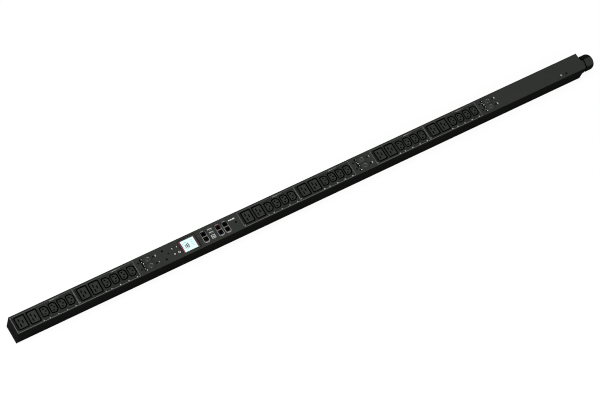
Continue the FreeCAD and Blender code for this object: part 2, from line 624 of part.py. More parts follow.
# place along the strip, y, size in X and Y, height from the board's face
TOP_CHIPS = [(508, 0, 14, 14, 1.6), (494, -12, 8, 6, 1.2), (523, 12, 10, 8, 1.2),
             (523, -12, 7, 7, 1.2), (635, 6, 6, 9, 2.4), (635, -8, 5, 7, 1.4)]
UNDER_CHIPS = [(470, 0, 12, 12, 1.6), (560, 0, 18, 12, 2.0), (600, 8, 9, 9, 1.4)]
CELL_AT, CELL_R, CELL_HEIGHT = 535, 10.0, 3.2
STEM_R, STEM_Z = 1.7, 40.0         # button stems and their lower end
SEAT_Z = BOARD_TOP + 0.1           # underside of the ports
RJ45_FACE_Z = 57.7
JACK_FLOOR = 44.0
# half width in X, then from and to in distance from the pair's centre: jack, latch notches
JACK_STEPS = [(5.95, 1.2, 8.6), (3.1, 8.5, 10.6), (1.7, 10.5, 12.2)]
# window in the shield for the +Y jack, from the stack's centre: X, Y
SHIELD_WINDOW = [(-6.9, 0.9), (6.9, 0.9), (6.9, 12.6), (3.4, 16.3), (-3.4, 16.3), (-6.9, 12.6)]
CONTACT_PITCH, CONTACT_HALF = 1.02, 0.22
USB_A_FLOOR = 42.0
# well of the USB-B port from its centre: X, Y
USB_B_WELL = [(-4.25, -3.9), (4.25, -3.9), (4.25, 2.0), (2.4, 3.9), (-2.4, 3.9), (-4.25, 2.0)]


def display_module():
    x, (width, height) = pos(DISPLAY_AT), DISPLAY_GLASS
    half_x, half_y = DISPLAY_ACTIVE[0] / 2, DISPLAY_ACTIVE[1] / 2
    frame = round_box(x, width + 2.0, height + 1.0, 1.0, 50.0, WALL_TOP - 0.1)
    frame = frame.cut(block(x, 0, half_x, half_y, WALL_TOP - 0.5, 60))
    active = block(x, 0, half_x - 0.1, half_y - 0.1, WALL_TOP - 0.49, WALL_TOP - 0.2)
    return [frame, active]


def display_window():
    window = round_box(pos(DISPLAY_AT), *DISPLAY_GLASS, 1.5, WALL_TOP, DEPTH - 0.1)
    return soften(window, edges_at_z(window, DEPTH - 0.1), 0.25)


def controller_board():
    """Board, posts, chips on both faces and a backup cell on the underside."""
    board = box(pos(BOARD_SPAN[0]), pos(BOARD_SPAN[1]), -BOARD_HALF_Y, BOARD_HALF_Y,
                BOARD_Z, BOARD_TOP)
    parts = [board.cut([cyl(1.2, 4, (pos(x), y, 35)) for x, y in POST_AT])]
    parts += [cyl(2.0, WALL_TOP - BOARD_TOP - 0.2, (pos(x), y, BOARD_TOP + 0.05))
              for x, y in POST_AT]
    parts += [block(pos(x), y, width / 2, height / 2, BOARD_TOP + 0.02, BOARD_TOP + thick)
              for x, y, width, height, thick in TOP_CHIPS]
    parts += [block(pos(x), y, width / 2, height / 2, BOARD_Z - thick, BOARD_Z - 0.02)
              for x, y, width, height, thick in UNDER_CHIPS]
    parts.append(cyl(CELL_R, CELL_HEIGHT, (pos(CELL_AT), 0, BOARD_Z - CELL_HEIGHT - 0.02)))
    return parts


def tact_switch(x, y):
    switch = block(pos(x), y, 3, 3, BOARD_TOP + 0.05, 41.5)
    return switch.cut(cyl(1.8, 8, (pos(x), y, 38.4)))


def button(x, y):
    cap = cyl(BUTTON_R, 2.0, (pos(x), y, WALL_TOP))
    cap = soften(cap, edges_at_z(cap, WALL_TOP + 2.0), 0.45)
    flange = cyl(5.6, 1.2, (pos(x), y, WALL_TOP - 1.2))
    return fuse([cap, flange, cyl(STEM_R, 15.5, (pos(x), y, STEM_Z))])


def reset_button():
    x, y = pos(RESET_AT[0]), RESET_AT[1]
    return fuse([cyl(STEM_R, 3.5, (x, y, STEM_Z)), cyl(1.3, 10.0, (x, y, 43.0))])


def rj45_shield(x):
    half_x, half_y = RJ45_HALF
    shield = octagon(x, half_x, half_y, RJ45_CORNER, SEAT_Z, RJ45_FACE_Z)
    shield = soften(shield, edges_at_z(shield, RJ45_FACE_Z), 0.25)
    shield = shield.cut(octagon(x, half_x - 0.4, half_y - 0.4, RJ45_CORNER - 0.2,
                                30, RJ45_FACE_Z - 0.4))
    # one window for each jack, so a rim and a bar between the jacks stay
    for side in SIDES:
        points = [(x + dx, side * y) for dx, y in SHIELD_WINDOW]
        shield = shield.cut(prism(points, RJ45_FACE_Z - 1, RJ45_FACE_Z + 1))
    return shield


def rj45_housing(x):
    """Two mirrored jacks, latch notches outward."""
    housing = octagon(x, RJ45_HALF[0] - 0.5, RJ45_HALF[1] - 0.5, RJ45_CORNER - 0.2,
                      SEAT_Z, RJ45_FACE_Z - 0.5)
    return housing.cut([side_box(x - half_x, x + half_x, side, near, far,
                                 JACK_FLOOR, RJ45_FACE_Z + 1)
                        for side in SIDES for half_x, near, far in JACK_STEPS])


def rj45_contacts(stack_x):
    contacts = []
    for side in SIDES:
        for k in range(8):
            x = stack_x + (k - 3.5) * CONTACT_PITCH
            ends = (x - CONTACT_HALF, x + CONTACT_HALF)
            leg = side_box(*ends, side, 1.25, 1.7, JACK_FLOOR + 0.1, 50.0)
            wire = side_box(*ends, side, 1.3, 3.6, 49.6, 50.05)
            contacts.append(leg.fuse(wire).removeSplitter())
    return contacts


def usb_shell(x, y, half_size):
    shell = block(x, y, *half_size, SEAT_Z, DEPTH)
    return soften(shell, edges_at_z(shell, DEPTH), 0.15)


def usb_ports():
    """Shell and tongue of each port."""
    parts = []
    for at, y in USB_A_AT:
        x = pos(at)
        parts.append(usb_shell(x, y, USB_A_HALF).cut(
            block(x, y, 6.2, 2.5, USB_A_FLOOR, DEPTH + 1)))
        parts.append(box(x - 5.5, x + 5.5, y + 0.3, y + 2.1, USB_A_FLOOR + 0.1, DEPTH - 1.0))
    x, y = pos(USB_B_AT[0]), USB_B_AT[1]
    opening = prism([(x + dx, y + dy) for dx, dy in USB_B_WELL], JACK_FLOOR, 60.0)
    parts.append(usb_shell(x, y, USB_B_HALF).cut(opening))
    parts.append(block(x, y, 2.8, 1.6, JACK_FLOOR + 0.1, DEPTH - 1.0))
    return parts


export("display_module", display_module())
export("display_window", display_window())
export("controller_board", controller_board())
export("tact_switches", [tact_switch(x, y) for x, y in list(BUTTONS.values()) + [RESET_AT]])
for name, place in BUTTONS.items():
    export(name, button(*place))
export("reset_button", reset_button())
export("rj45_shields", [rj45_shield(pos(at)) for at in RJ45_AT])
export("rj45_housings", [rj45_housing(pos(at)) for at in RJ45_AT])
export("rj45_contacts", [contact for at in RJ45_AT for contact in rj45_contacts(pos(at))])
export("usb_ports", usb_ports())

# ---------------------------------------------------------------- supply and metering
METER_BACK = (62.0, 8.0)       # ends of a metering board, before the panel's start
RING_BACK, RING_LENGTH = 22.0, 8.0
RING_R, RING_BORE_R = 9.2, 4.6
RISER_BACK = (50.0, MODULE + 24.0)     # where each row's wire turns up to the busbars
LONG_WIRE_SPAN = (390.0, 1744.7)
PSU_TOP = 7.6                  # top of the power supply's board
BLOCK_ROWS = [-16.0 + 8.0 * k for k in range(5)]
BLOCK_POCKETS = (1753.5, 1766.5)


def metering_board(start):
    x_lo, x_hi = (pos(start - back) for back in METER_BACK)
    return [box(x_lo, x_hi, -19.0, 19.0, 3.0, 4.6),
            box(x_lo + 6, x_lo + 15, -4.5, 4.5, 4.65, 6.2),
            box(x_lo + 20, x_lo + 26, 6.0, 14.0, 4.65, 5.9)]


def current_transformer(start, y):
    x = pos(start - RING_BACK) - RING_LENGTH / 2
    ring = cyl(RING_R, RING_LENGTH, (x, y, WIRE_Z), X_AXIS).cut(
        cyl(RING_BORE_R, 10.0, (x - 1, y, WIRE_Z), X_AXIS))
    return soften(ring, [e for e in ring.Edges if e.BoundBox.YLength > 17], 1.2)


def breaker_wire(start, y, riser_back):
    """From the breaker's -X terminal along the strip, then up to the busbars."""
    x_end = pos(start + BREAKER_AT) - TERMINAL_AT + 2.0
    x_up = pos(start - riser_back)
    return fuse([cyl(WIRE_R, x_end - x_up, (x_up, y, WIRE_Z), X_AXIS),
                 Part.makeSphere(WIRE_R, Vector(x_up, y, WIRE_Z)),
                 cyl(WIRE_R, BAR_Z[0] - 0.15 - WIRE_Z, (x_up, y, WIRE_Z))])


def supply_wires():
    wires = [breaker_wire(start, y, back) for start in PANEL_STARTS
             for y, back in zip(BREAKER_ROWS, RISER_BACK)]
    x_lo, x_hi = (pos(at) for at in LONG_WIRE_SPAN)
    wires += [cyl(WIRE_R, x_hi - x_lo, (x_lo, y, z), X_AXIS)
              for y in (-22.0, 22.0) for z in (6.2, 11.2)]
    # earth lead from the terminal block towards the ground point
    wires.append(cyl(1.6, 24.0, (pos(1720.5), GROUND_AT[1], 20.0), X_AXIS))
    return wires


def power_supply_board():
    """Board, the parts standing on it and four posts under its corners."""
    base = PSU_TOP + 0.05
    parts = [box(pos(1530.0), pos(1632.0), -17.0, 17.0, 6.0, PSU_TOP),
             box(pos(1538.0), pos(1560.0), -11.0, 11.0, base, 26.0),
             box(pos(1566.0), pos(1580.0), -13.0, -1.0, base, 19.0),
             cyl(6.3, 22.0, (pos(1592.0), 6.0, base)),
             cyl(6.3, 22.0, (pos(1608.0), 6.0, base)),
             cyl(4.0, 12.0, (pos(1590.0), -9.0, base)),
             box(pos(1604.0), pos(1622.0), -15.0, -6.0, base, 15.0)]
    return parts + [cyl(2.0, 3.7, (pos(x), y, WALL + 0.75))
                    for x in (1533.5, 1628.5) for y in (-13.5, 13.5)]


def terminal_block():
    """Block with two rows of pockets and a slotted screw in each."""
    body = box(pos(1745.0), pos(1775.0), -20.0, 20.0, WALL + 0.7, 26.0)
    places = [(pos(at), y) for y in BLOCK_ROWS for at in BLOCK_POCKETS]
    body = body.cut([block(x, y, 3.5, 3.2, 18.0, 30.0) for x, y in places])
    return [body] + [cyl(2.6, 3.0, (x, y, 18.1)).cut(block(x, y, 3, 0.4, 20.2, 22))
                     for x, y in places]


export("supply_wires", supply_wires())
export("metering_boards", [part for start in PANEL_STARTS for part in metering_board(start)])
export("current_transformers", [current_transformer(start, y)
                                for start in PANEL_STARTS for y in BREAKER_ROWS])
export("power_supply_board", power_supply_board())
export("terminal_block", terminal_block())

# ---------------------------------------------------------------- cable gland
# Distances along the gland are from the end plate's outer face.
GLAND_FLATS, GLAND_CORNER_R = 40.0, 22.9
GLAND_TURN = 22.0          # degrees the top flat leans towards -Y
GLAND_HEX_LENGTH = 14.6
SPIGOT_R, SPIGOT_END = 16.5, 31.0
THREAD_R = 16.0            # the part inside the strip
SEAL_R, SEAL_BORE_R = 13.5, 9.5
NUT_START, NUT_ROUND, NUT_END = 18.4, 35.9, 48.3
NUT_TIP_R = 11.9           # radius where the dome meets the flat tip
NUT_BORE_R = 16.56
NUT_MOUTH = 33.0           # start of the tapered bore through the tip


def gland_cyl(radius, start, length):
    return cyl(radius, length, (HALF_LENGTH + start, 0, GLAND_Z), X_AXIS)


def gland_hex(across_flats, start, end, turn=0.0):
    """Hexagonal bar along X. Unturned, two of its flats face +Z and -Z."""
    corners = [Vector(HALF_LENGTH + start, u, GLAND_Z + v)
               for u, v in hexagon(across_flats, turn)]
    return polygon(corners).extrude(Vector(end - start, 0, 0))


def turned_hex(start, end):
    return gland_hex(GLAND_FLATS, start, end, GLAND_TURN).common(
        gland_cyl(GLAND_CORNER_R, -5, 60))


def gland_body():
    collar = turned_hex(0.05, GLAND_HEX_LENGTH)
    collar = soften(collar, [e for e in collar.Edges if e.BoundBox.XLength < 1e-4], 0.6)
    spigot_start = GLAND_HEX_LENGTH - 0.1
    body = fuse([collar, gland_cyl(THREAD_R, -14.0, 14.1),
                 gland_cyl(SPIGOT_R, spigot_start, SPIGOT_END - GLAND_HEX_LENGTH + 0.1)])
    return body.cut([gland_cyl(12.0, -20, 80), gland_cyl(13.6, 15.0, 20)])


def gland_locknut():
    nut = gland_hex(38.0, -8.6, -WALL - 0.1).common(gland_cyl(21.2, -30, 60))
    return nut.cut(gland_cyl(THREAD_R + 0.06, -15, 30))


def nut_envelope():
    """Solid of revolution whose +X end is a quarter of an ellipse turned about the axis."""
    curve_points = []
    for i in range(13):
        angle = math.radians(90.0 * i / 12)
        radius = NUT_TIP_R + (GLAND_CORNER_R - NUT_TIP_R) * math.cos(angle)
        along = NUT_ROUND + (NUT_END - NUT_ROUND) * math.sin(angle)
        curve_points.append(Vector(HALF_LENGTH + along, 0, GLAND_Z + radius))
    curve = Part.BSplineCurve()
    curve.interpolate(curve_points)
    start_x, end_x = HALF_LENGTH + NUT_START, HALF_LENGTH + NUT_END
    corners = [curve_points[-1], Vector(end_x, 0, GLAND_Z), Vector(start_x, 0, GLAND_Z),
               Vector(start_x, 0, GLAND_Z + GLAND_CORNER_R), curve_points[0]]
    lines = [Part.makeLine(a, b) for a, b in zip(corners, corners[1:])]
    wire = Part.Wire([curve.toShape()] + lines)
    dome = Part.Face(wire).revolve(Vector(HALF_LENGTH, 0, GLAND_Z), Vector(*X_AXIS), 360)
    # the revolved solid may come out inside out
    if dome.Volume < 0:
        dome.reverse()
    return dome


def gland_dome_nut():
    nut = turned_hex(NUT_START, NUT_END).common(nut_envelope())
    # the straight bore is cut by overlapping cylinders, the mouth by a cone
    bore = gland_cyl(NUT_BORE_R, NUT_START - 0.9, 14.2).fuse(
        gland_cyl(NUT_BORE_R, NUT_START - 5, 10))
    mouth = cone(11.6, 10.4, NUT_END - NUT_MOUTH + 0.5,
                 (HALF_LENGTH + NUT_MOUTH, 0, GLAND_Z), X_AXIS)
    return nut.cut([bore, gland_cyl(NUT_BORE_R, 20, 13.2), mouth])


export("gland_body", gland_body())
export("gland_locknut", gland_locknut())
export("gland_seal", gland_cyl(SEAL_R, 15.2, 14.7).cut(gland_cyl(SEAL_BORE_R, 10, 30)))
export("gland_thrust_ring", gland_cyl(16.3, 31.2, 1.9).cut(gland_cyl(10.6, 28, 10)))
export("gland_dome_nut", gland_dome_nut())
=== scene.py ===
# A long power strip with six outlet modules, rocker breakers and a small controller with a
# screen, keys and jacks. It lies along X with its working face up (+Z) and its width along Y.
# The camera looks down from the -X, -Y side, so "near" means -Y and "far" means +Y.
# The CAD pieces get procedural finishes, and printed marks are added as thin raised solids.
import json
import math

import bpy
from mathutils import Matrix, Vector


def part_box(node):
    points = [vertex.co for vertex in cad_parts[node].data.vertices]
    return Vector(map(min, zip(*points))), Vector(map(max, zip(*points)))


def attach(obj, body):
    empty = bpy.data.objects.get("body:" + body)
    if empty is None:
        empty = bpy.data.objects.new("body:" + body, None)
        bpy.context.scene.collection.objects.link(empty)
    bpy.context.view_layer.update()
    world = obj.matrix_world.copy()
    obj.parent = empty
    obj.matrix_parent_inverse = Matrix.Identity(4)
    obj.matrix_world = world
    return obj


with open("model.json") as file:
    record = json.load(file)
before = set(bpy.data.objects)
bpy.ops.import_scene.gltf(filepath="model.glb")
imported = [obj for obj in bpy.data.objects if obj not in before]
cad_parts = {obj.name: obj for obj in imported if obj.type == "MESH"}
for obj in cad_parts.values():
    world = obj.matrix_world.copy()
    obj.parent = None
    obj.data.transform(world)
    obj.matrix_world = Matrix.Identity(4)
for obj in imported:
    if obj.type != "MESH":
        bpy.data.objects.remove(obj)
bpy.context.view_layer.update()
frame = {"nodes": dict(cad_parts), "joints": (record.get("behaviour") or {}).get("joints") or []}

MM = 0.001
NODES = frame["nodes"]


def top_middle(node):
    """The x and y of a node's middle and the z of its top, in millimetres."""
    low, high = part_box(node)
    return (low.x + high.x) / 2 / MM, (low.y + high.y) / 2 / MM, high.z / MM


# ---------------------------------------------------------------- node trees
class Tree:
    """A short way to write a node tree. Values may be sockets, numbers or colours."""

    def __init__(self, owner):
        owner.use_nodes = True
        self.nodes = owner.node_tree.nodes
        self.links = owner.node_tree.links
        self.nodes.clear()

    def new(self, kind, inputs=None):
        node = self.nodes.new(kind)
        for key, value in (inputs or {}).items():
            self.feed(node.inputs[key], value)
        return node

    def feed(self, socket, value):
        if isinstance(value, bpy.types.NodeSocket):
            self.links.new(value, socket)
        elif socket.type == "RGBA":
            socket.default_value = (*value, 1)
        else:
            socket.default_value = value

    def math(self, operation, a, b=0.0, clamp=False):
        node = self.new("ShaderNodeMath", {0: a, 1: b})
        node.operation = operation
        node.use_clamp = clamp
        return node.outputs[0]

    def add(self, a, b):
        return self.math("ADD", a, b)

    def subtract(self, a, b):
        return self.math("SUBTRACT", a, b)

    def multiply(self, a, b):
        return self.math("MULTIPLY", a, b)

    def invert(self, value):
        return self.math("SUBTRACT", 1.0, value)

    def ramp(self, value, *stops):
        """A grey colour ramp; each stop is (position, level)."""
        node = self.new("ShaderNodeValToRGB", {0: value})
        elements = node.color_ramp.elements
        while len(elements) > 1:
            elements.remove(elements[-1])
        elements[0].position = stops[0][0]
        elements[0].color = (*[stops[0][1]] * 3, 1)
        for position, level in stops[1:]:
            elements.new(position).color = (level, level, level, 1)
        return node.outputs[0]

    def rise(self, value, low, high):
        """0 up to low, 1 from high on."""
        return self.ramp(value, (low, 0.0), (high, 1.0))

    def past(self, value, start_mm, width_mm):
        """How far a length is past start_mm, as a share of width_mm."""
        return self.multiply(self.subtract(value, start_mm * MM), 1.0 / (width_mm * MM))

    def above(self, value, start_mm, width_mm):
        return self.ramp(self.past(value, start_mm, width_mm), (0.0, 0.0), (1.0, 1.0))

    def below(self, value, start_mm, width_mm):
        return self.ramp(self.past(value, start_mm, width_mm), (0.0, 1.0), (1.0, 0.0))

    def mix(self, factor, a, b):
        node = self.new("ShaderNodeMix")
        node.data_type = "RGBA"
        # inputs 0, 6 and 7 are the factor and the two colours
        for key, value in ((0, factor), (6, a), (7, b)):
            self.feed(node.inputs[key], value)
        return node.outputs[2]

    def mix_shader(self, factor, a, b):
        return self.new("ShaderNodeMixShader", {0: factor, 1: a, 2: b}).outputs[0]

    def noise(self, vector, scale, detail=3.0, roughness=0.55, distortion=0.0):
        return self.new("ShaderNodeTexNoise", {
            "Vector": vector, "Scale": scale, "Detail": detail,
            "Roughness": roughness, "Distortion": distortion}).outputs["Fac"]

    def coords(self, kind="Object"):
        return self.new("ShaderNodeTexCoord").outputs[kind]

    def split(self, vector):
        return self.new("ShaderNodeSeparateXYZ", {0: vector}).outputs

    def edge(self, radius_mm, low, high):
        """0 on a flat face, rising to 1 near an edge."""
        bevel = self.new("ShaderNodeBevel", {"Radius": radius_mm * MM})
        bevel.samples = 4
        geometry = self.new("ShaderNodeNewGeometry")
        dot = self.new("ShaderNodeVectorMath",
                       {0: bevel.outputs[0], 1: geometry.outputs["True Normal"]})
        dot.operation = "DOT_PRODUCT"
        bend = self.math("SUBTRACT", 1.0, dot.outputs["Value"], clamp=True)
        return self.rise(bend, low, high)

    def surface(self, colour, roughness, height=None, height_mm=0.0, metallic=0.0,
                specular=0.5, tint=(1.0, 1.0, 1.0)):
        """A principled surface wired to the output, with an optional bump."""
        principled = self.new("ShaderNodeBsdfPrincipled", {
            "Base Color": colour, "Roughness": roughness, "Metallic": metallic,
            "Specular IOR Level": specular, "Coat Roughness": 0.2, "Specular Tint": tint})
        if height is not None:
            bump = self.new("ShaderNodeBump", {
                "Strength": 1.0, "Distance": height_mm * MM, "Height": height})
            self.feed(principled.inputs["Normal"], bump.outputs[0])
        self.finish(principled.outputs[0])
        return principled

    def glow(self, principled, colour, strength):
        self.feed(principled.inputs["Emission Color"], colour)
        self.feed(principled.inputs["Emission Strength"], strength)

    def finish(self, shader, kind="ShaderNodeOutputMaterial"):
        self.new(kind, {"Surface": shader})


MATERIALS = {}


def new_material(name):
    """Files a new material under its name and returns its empty tree."""
    MATERIALS[name] = bpy.data.materials.new(name)
    return Tree(MATERIALS[name])


def scaled(colour, factor):
    return tuple(min(1, channel * factor) for channel in colour)


def rubbed(level):
    """The faintly green grey of lightened edges: edge rubbing and a painted highlight."""
    return (level, level * 1.02, level * 0.98)


# ---------------------------------------------------------------- families of finishes
OLIVE = (0.93, 1.0, 0.90)
# the black of the painted shade along edges
SHADE_BLACK = (0.0010, 0.0010, 0.0010)
# the black painted into wells as shade
WELL_SHADE = (0.0012, 0.0012, 0.0012)


def drift(t, tone, rough, specular):
    """Roughness and specular level, each varying a little with the tone."""
    return (t.add(rough - 0.05, t.multiply(tone, 0.10)),
            t.add(specular * 0.88, t.multiply(tone, specular * 0.24)))


def powder_coat(name, base, light, grain=1500.0, bump_mm=0.035, rough=0.46, edge_mm=0.7,
                edge_mix=1.0, specular=0.5, worn=0.075, outer_mm=None, band_mm=None):
    """Sprayed powder coat on steel: orange-peel grain, slow tone drift, edges lightened by edge
    rubbing and a painted highlight.

    With outer_mm, only edges further than that from y = 0 are lightened; edges inside it are
    darkened as painted shade. With band_mm, a range of heights, edges within the band are
    darkened as painted shade."""
    t = new_material(name)
    at = t.coords()
    peel = t.noise(at, grain, detail=2.0, roughness=0.6)
    slow = t.noise(at, 9.0, detail=4.0, roughness=0.6)
    patches = t.noise(at, 160.0, roughness=0.6)
    tone = t.rise(t.add(t.multiply(slow, 0.6), t.multiply(patches, 0.4)), 0.32, 0.68)
    colour = t.mix(tone, base, light)
    specks = t.rise(t.noise(at, grain * 0.8, detail=1.0, roughness=0.5), 0.70, 0.76)
    colour = t.mix(t.multiply(specks, 0.35), colour, scaled(light, 3.0))
    patchy = t.ramp(t.noise(at, 240.0, detail=5.0, roughness=0.7), (0.36, 0.25), (0.66, 1.0))
    # edges lightened: edge rubbing in patches, and a painted highlight
    edge_rub_and_highlight = t.multiply(t.edge(edge_mm, 0.02, 0.30), patchy)
    roughness, gloss = drift(t, tone, rough, specular)

    highlight_zone = None
    if outer_mm is not None:
        highlight_zone = t.above(t.math("ABSOLUTE", t.split(at)[1]), outer_mm, 0.5)
    elif band_mm is not None:
        low, high = band_mm
        offset = t.subtract(t.split(at)[2], (low + high) / 2.0 * MM)
        highlight_zone = t.above(t.math("ABSOLUTE", offset), (high - low) / 2.0, 0.1)
    if highlight_zone is not None:
        edge_rub_and_highlight = t.multiply(edge_rub_and_highlight, highlight_zone)
        # edges here are darkened: painted shade
        edge_shade = t.multiply(t.edge(1.1, 0.01, 0.14), t.invert(highlight_zone))
        colour = t.mix(edge_shade, colour, SHADE_BLACK)
        gloss = t.multiply(gloss, t.invert(t.multiply(edge_shade, 0.85)))

    colour = t.mix(t.multiply(edge_rub_and_highlight, edge_mix), colour, rubbed(worn))
    roughness = t.subtract(roughness, t.multiply(edge_rub_and_highlight, 0.12))
    t.surface(colour, roughness, peel, bump_mm, specular=gloss, tint=OLIVE)


def rim_mask(t, at, z, rim, far):
    """Where the painted highlight goes: 1 on raised rims, fainter on the far side.

    Between far["foot"] and far["outside"] the painted highlight also reaches the foot of the
    rim."""
    mask = t.above(z, rim["start"], rim["full"] - rim["start"])
    if far:
        y = t.split(at)[1]
        outside = t.above(y, far["outside"], 0.4)
        inside = t.above(y, far["foot"], 0.4)
        keep = t.invert(t.multiply(outside, 0.92))
        foot = t.multiply(t.multiply(inside, t.above(z, 56.9, 57.1 - 56.9)), far["strength"])
        mask = t.multiply(t.math("MAXIMUM", mask, foot), keep)
    return mask


def moulded(name, base, light, grain=2600.0, bump_mm=0.018, rough=0.45, edge_mm=0.35,
            edge_mix=0.6, specular=0.5, worn=0.06, shade_mm=0.9, rim=None, far=None, deep=None,
            tint=OLIVE):
    """Moulded plastic: spark-eroded grain, faint flow marks, edges lightened as a painted
    highlight.

    rim gives raised rims a painted highlight and far fades that on the far side. deep is the
    pair of heights between which narrow wells go from painted black shade to the plain finish;
    low edges then get painted shade over a radius of shade_mm. Heights and places are in
    millimetres."""
    t = new_material(name)
    at = t.coords()
    fine = t.noise(at, grain, detail=2.0, roughness=0.6)
    flow = t.noise(at, 38.0, distortion=1.2)
    slow = t.noise(at, 11.0, roughness=0.6)
    tone = t.rise(t.add(t.multiply(slow, 0.5), t.multiply(flow, 0.5)), 0.34, 0.66)
    colour = t.mix(tone, base, light)
    # edges lightened as a painted highlight
    edge_highlight = t.multiply(t.edge(edge_mm, 0.02, 0.35), edge_mix)
    roughness, gloss = drift(t, tone, rough, specular)
    z = t.split(at)[2] if rim or deep else None

    # raised rims get a lighter colour: a painted highlight
    if rim:
        raised = rim_mask(t, at, z, rim, far)
        colour = t.mix(raised, colour, rim["colour"])
        roughness = t.subtract(roughness, t.multiply(raised, rim["smoother"]))
        gloss = t.add(gloss, t.multiply(raised, 0.5))
    if deep:
        # free edges get a painted highlight, edges beside a well get painted shade
        free = t.above(z, 57.3, 57.5 - 57.3)
        colour = t.mix(t.multiply(edge_highlight, free), colour, rubbed(worn))
        edge_shade = t.multiply(t.edge(shade_mm, 0.01, 0.085), t.invert(free))
        colour = t.mix(edge_shade, colour, SHADE_BLACK)
        gloss = t.multiply(gloss, t.invert(t.multiply(edge_shade, 0.88)))
        # below the deep band the wells are painted black: painted shade
        plain = t.above(z, deep[0], deep[1] - deep[0])
        colour = t.mix(plain, WELL_SHADE, colour)
        gloss = t.multiply(gloss, t.add(0.12, t.multiply(plain, 0.88)))
    else:
        # edges lightened as a painted highlight
        colour = t.mix(edge_highlight, colour, rubbed(worn))
    t.surface(colour, roughness, fine, bump_mm, specular=gloss, tint=tint)


def plated(name, base, light, rough):
    """Plated sheet metal with a grain drawn out along x, soft stains and lightened edges: edge
    rubbing and a painted highlight.
    """
    t = new_material(name)
    at = t.coords()
    drawn = t.new("ShaderNodeMapping", {"Vector": at, "Scale": (0.72, 1.0, 1.0)}).outputs[0]
    lines = t.noise(drawn, 2600.0, detail=2.0, roughness=0.7)
    stain = t.noise(at, 130.0, detail=4.0, roughness=0.6)
    colour = t.mix(t.rise(stain, 0.35, 0.7), base, light)
    # edges lightened: edge rubbing and a painted highlight
    edge_rub_and_highlight = t.multiply(t.edge(0.2, 0.02, 0.4), 0.4)
    colour = t.mix(edge_rub_and_highlight, colour, scaled(light, 1.25))
    roughness = t.add(rough - 0.08, t.multiply(t.add(lines, stain), 0.12))
    t.surface(colour, roughness, lines, height_mm=0.004, metallic=1.0)


def printed(name, base, glow=0.0):
    """Screen-printed ink with a little unevenness. glow makes the ink give light, which ink does
    not: painted light.
    """
    t = new_material(name)
    grain = t.noise(t.coords(), 900.0, roughness=0.6)
    colour = t.mix(t.rise(grain, 0.3, 0.7), scaled(base, 0.82), base)
    roughness = t.add(0.42, t.multiply(grain, 0.2))
    principled = t.surface(colour, roughness, grain, height_mm=0.004)
    if glow:
        t.glow(principled, colour, glow)


def lit(name, base, glow):
    """A lit display area with its grid of cells."""
    cells_per_metre = 4200.0
    t = new_material(name)
    at = t.coords()
    x, y, _ = t.split(at)

    def lines(value):
        cell = t.math("FRACT", t.multiply(value, cells_per_metre))
        return t.ramp(cell, (0.0, 0.86), (0.12, 1.0))

    grid = t.multiply(lines(x), lines(y))
    uneven = t.add(0.94, t.multiply(t.noise(at, 40.0, detail=2.0, roughness=0.5), 0.1))
    colour = t.mix(t.multiply(grid, uneven), scaled(base, 0.35), base)
    principled = t.surface(t.mix(0.88, colour, (0.01, 0.01, 0.01)), roughness=0.25)
    t.glow(principled, colour, glow)


# ---------------------------------------------------------------- the finishes
# each entry opens with the base colour and the lighter colour it drifts to
SCREW_COAT = dict(grain=3000.0, bump_mm=0.01)
POWDER_COATS = {
    "powder_black": dict(base=(0.0040, 0.0043, 0.0040), light=(0.0065, 0.0069, 0.0064),
                         band_mm=(53.4, 56.6)),
    "panel_black": dict(base=(0.0046, 0.0050, 0.0045), light=(0.0072, 0.0077, 0.0070),
                        edge_mix=0.8, worn=0.15, outer_mm=24.0),
    "black_steel": dict(base=(0.0010, 0.0010, 0.0012), light=(0.0020, 0.0020, 0.0024),
                        rough=0.5, edge_mm=0.12, edge_mix=0.3, specular=0.05, worn=0.012,
                        **SCREW_COAT),
    "breaker_steel": dict(base=(0.0022, 0.0023, 0.0023), light=(0.0036, 0.0037, 0.0037),
                          rough=0.5, edge_mm=0.12, edge_mix=0.3, specular=0.16, worn=0.012,
                          **SCREW_COAT),
    "blued_steel": dict(base=(0.0030, 0.0031, 0.0075), light=(0.0050, 0.0052, 0.0120),
                        rough=0.34, edge_mm=0.2, edge_mix=0.5, specular=0.4, **SCREW_COAT),
}
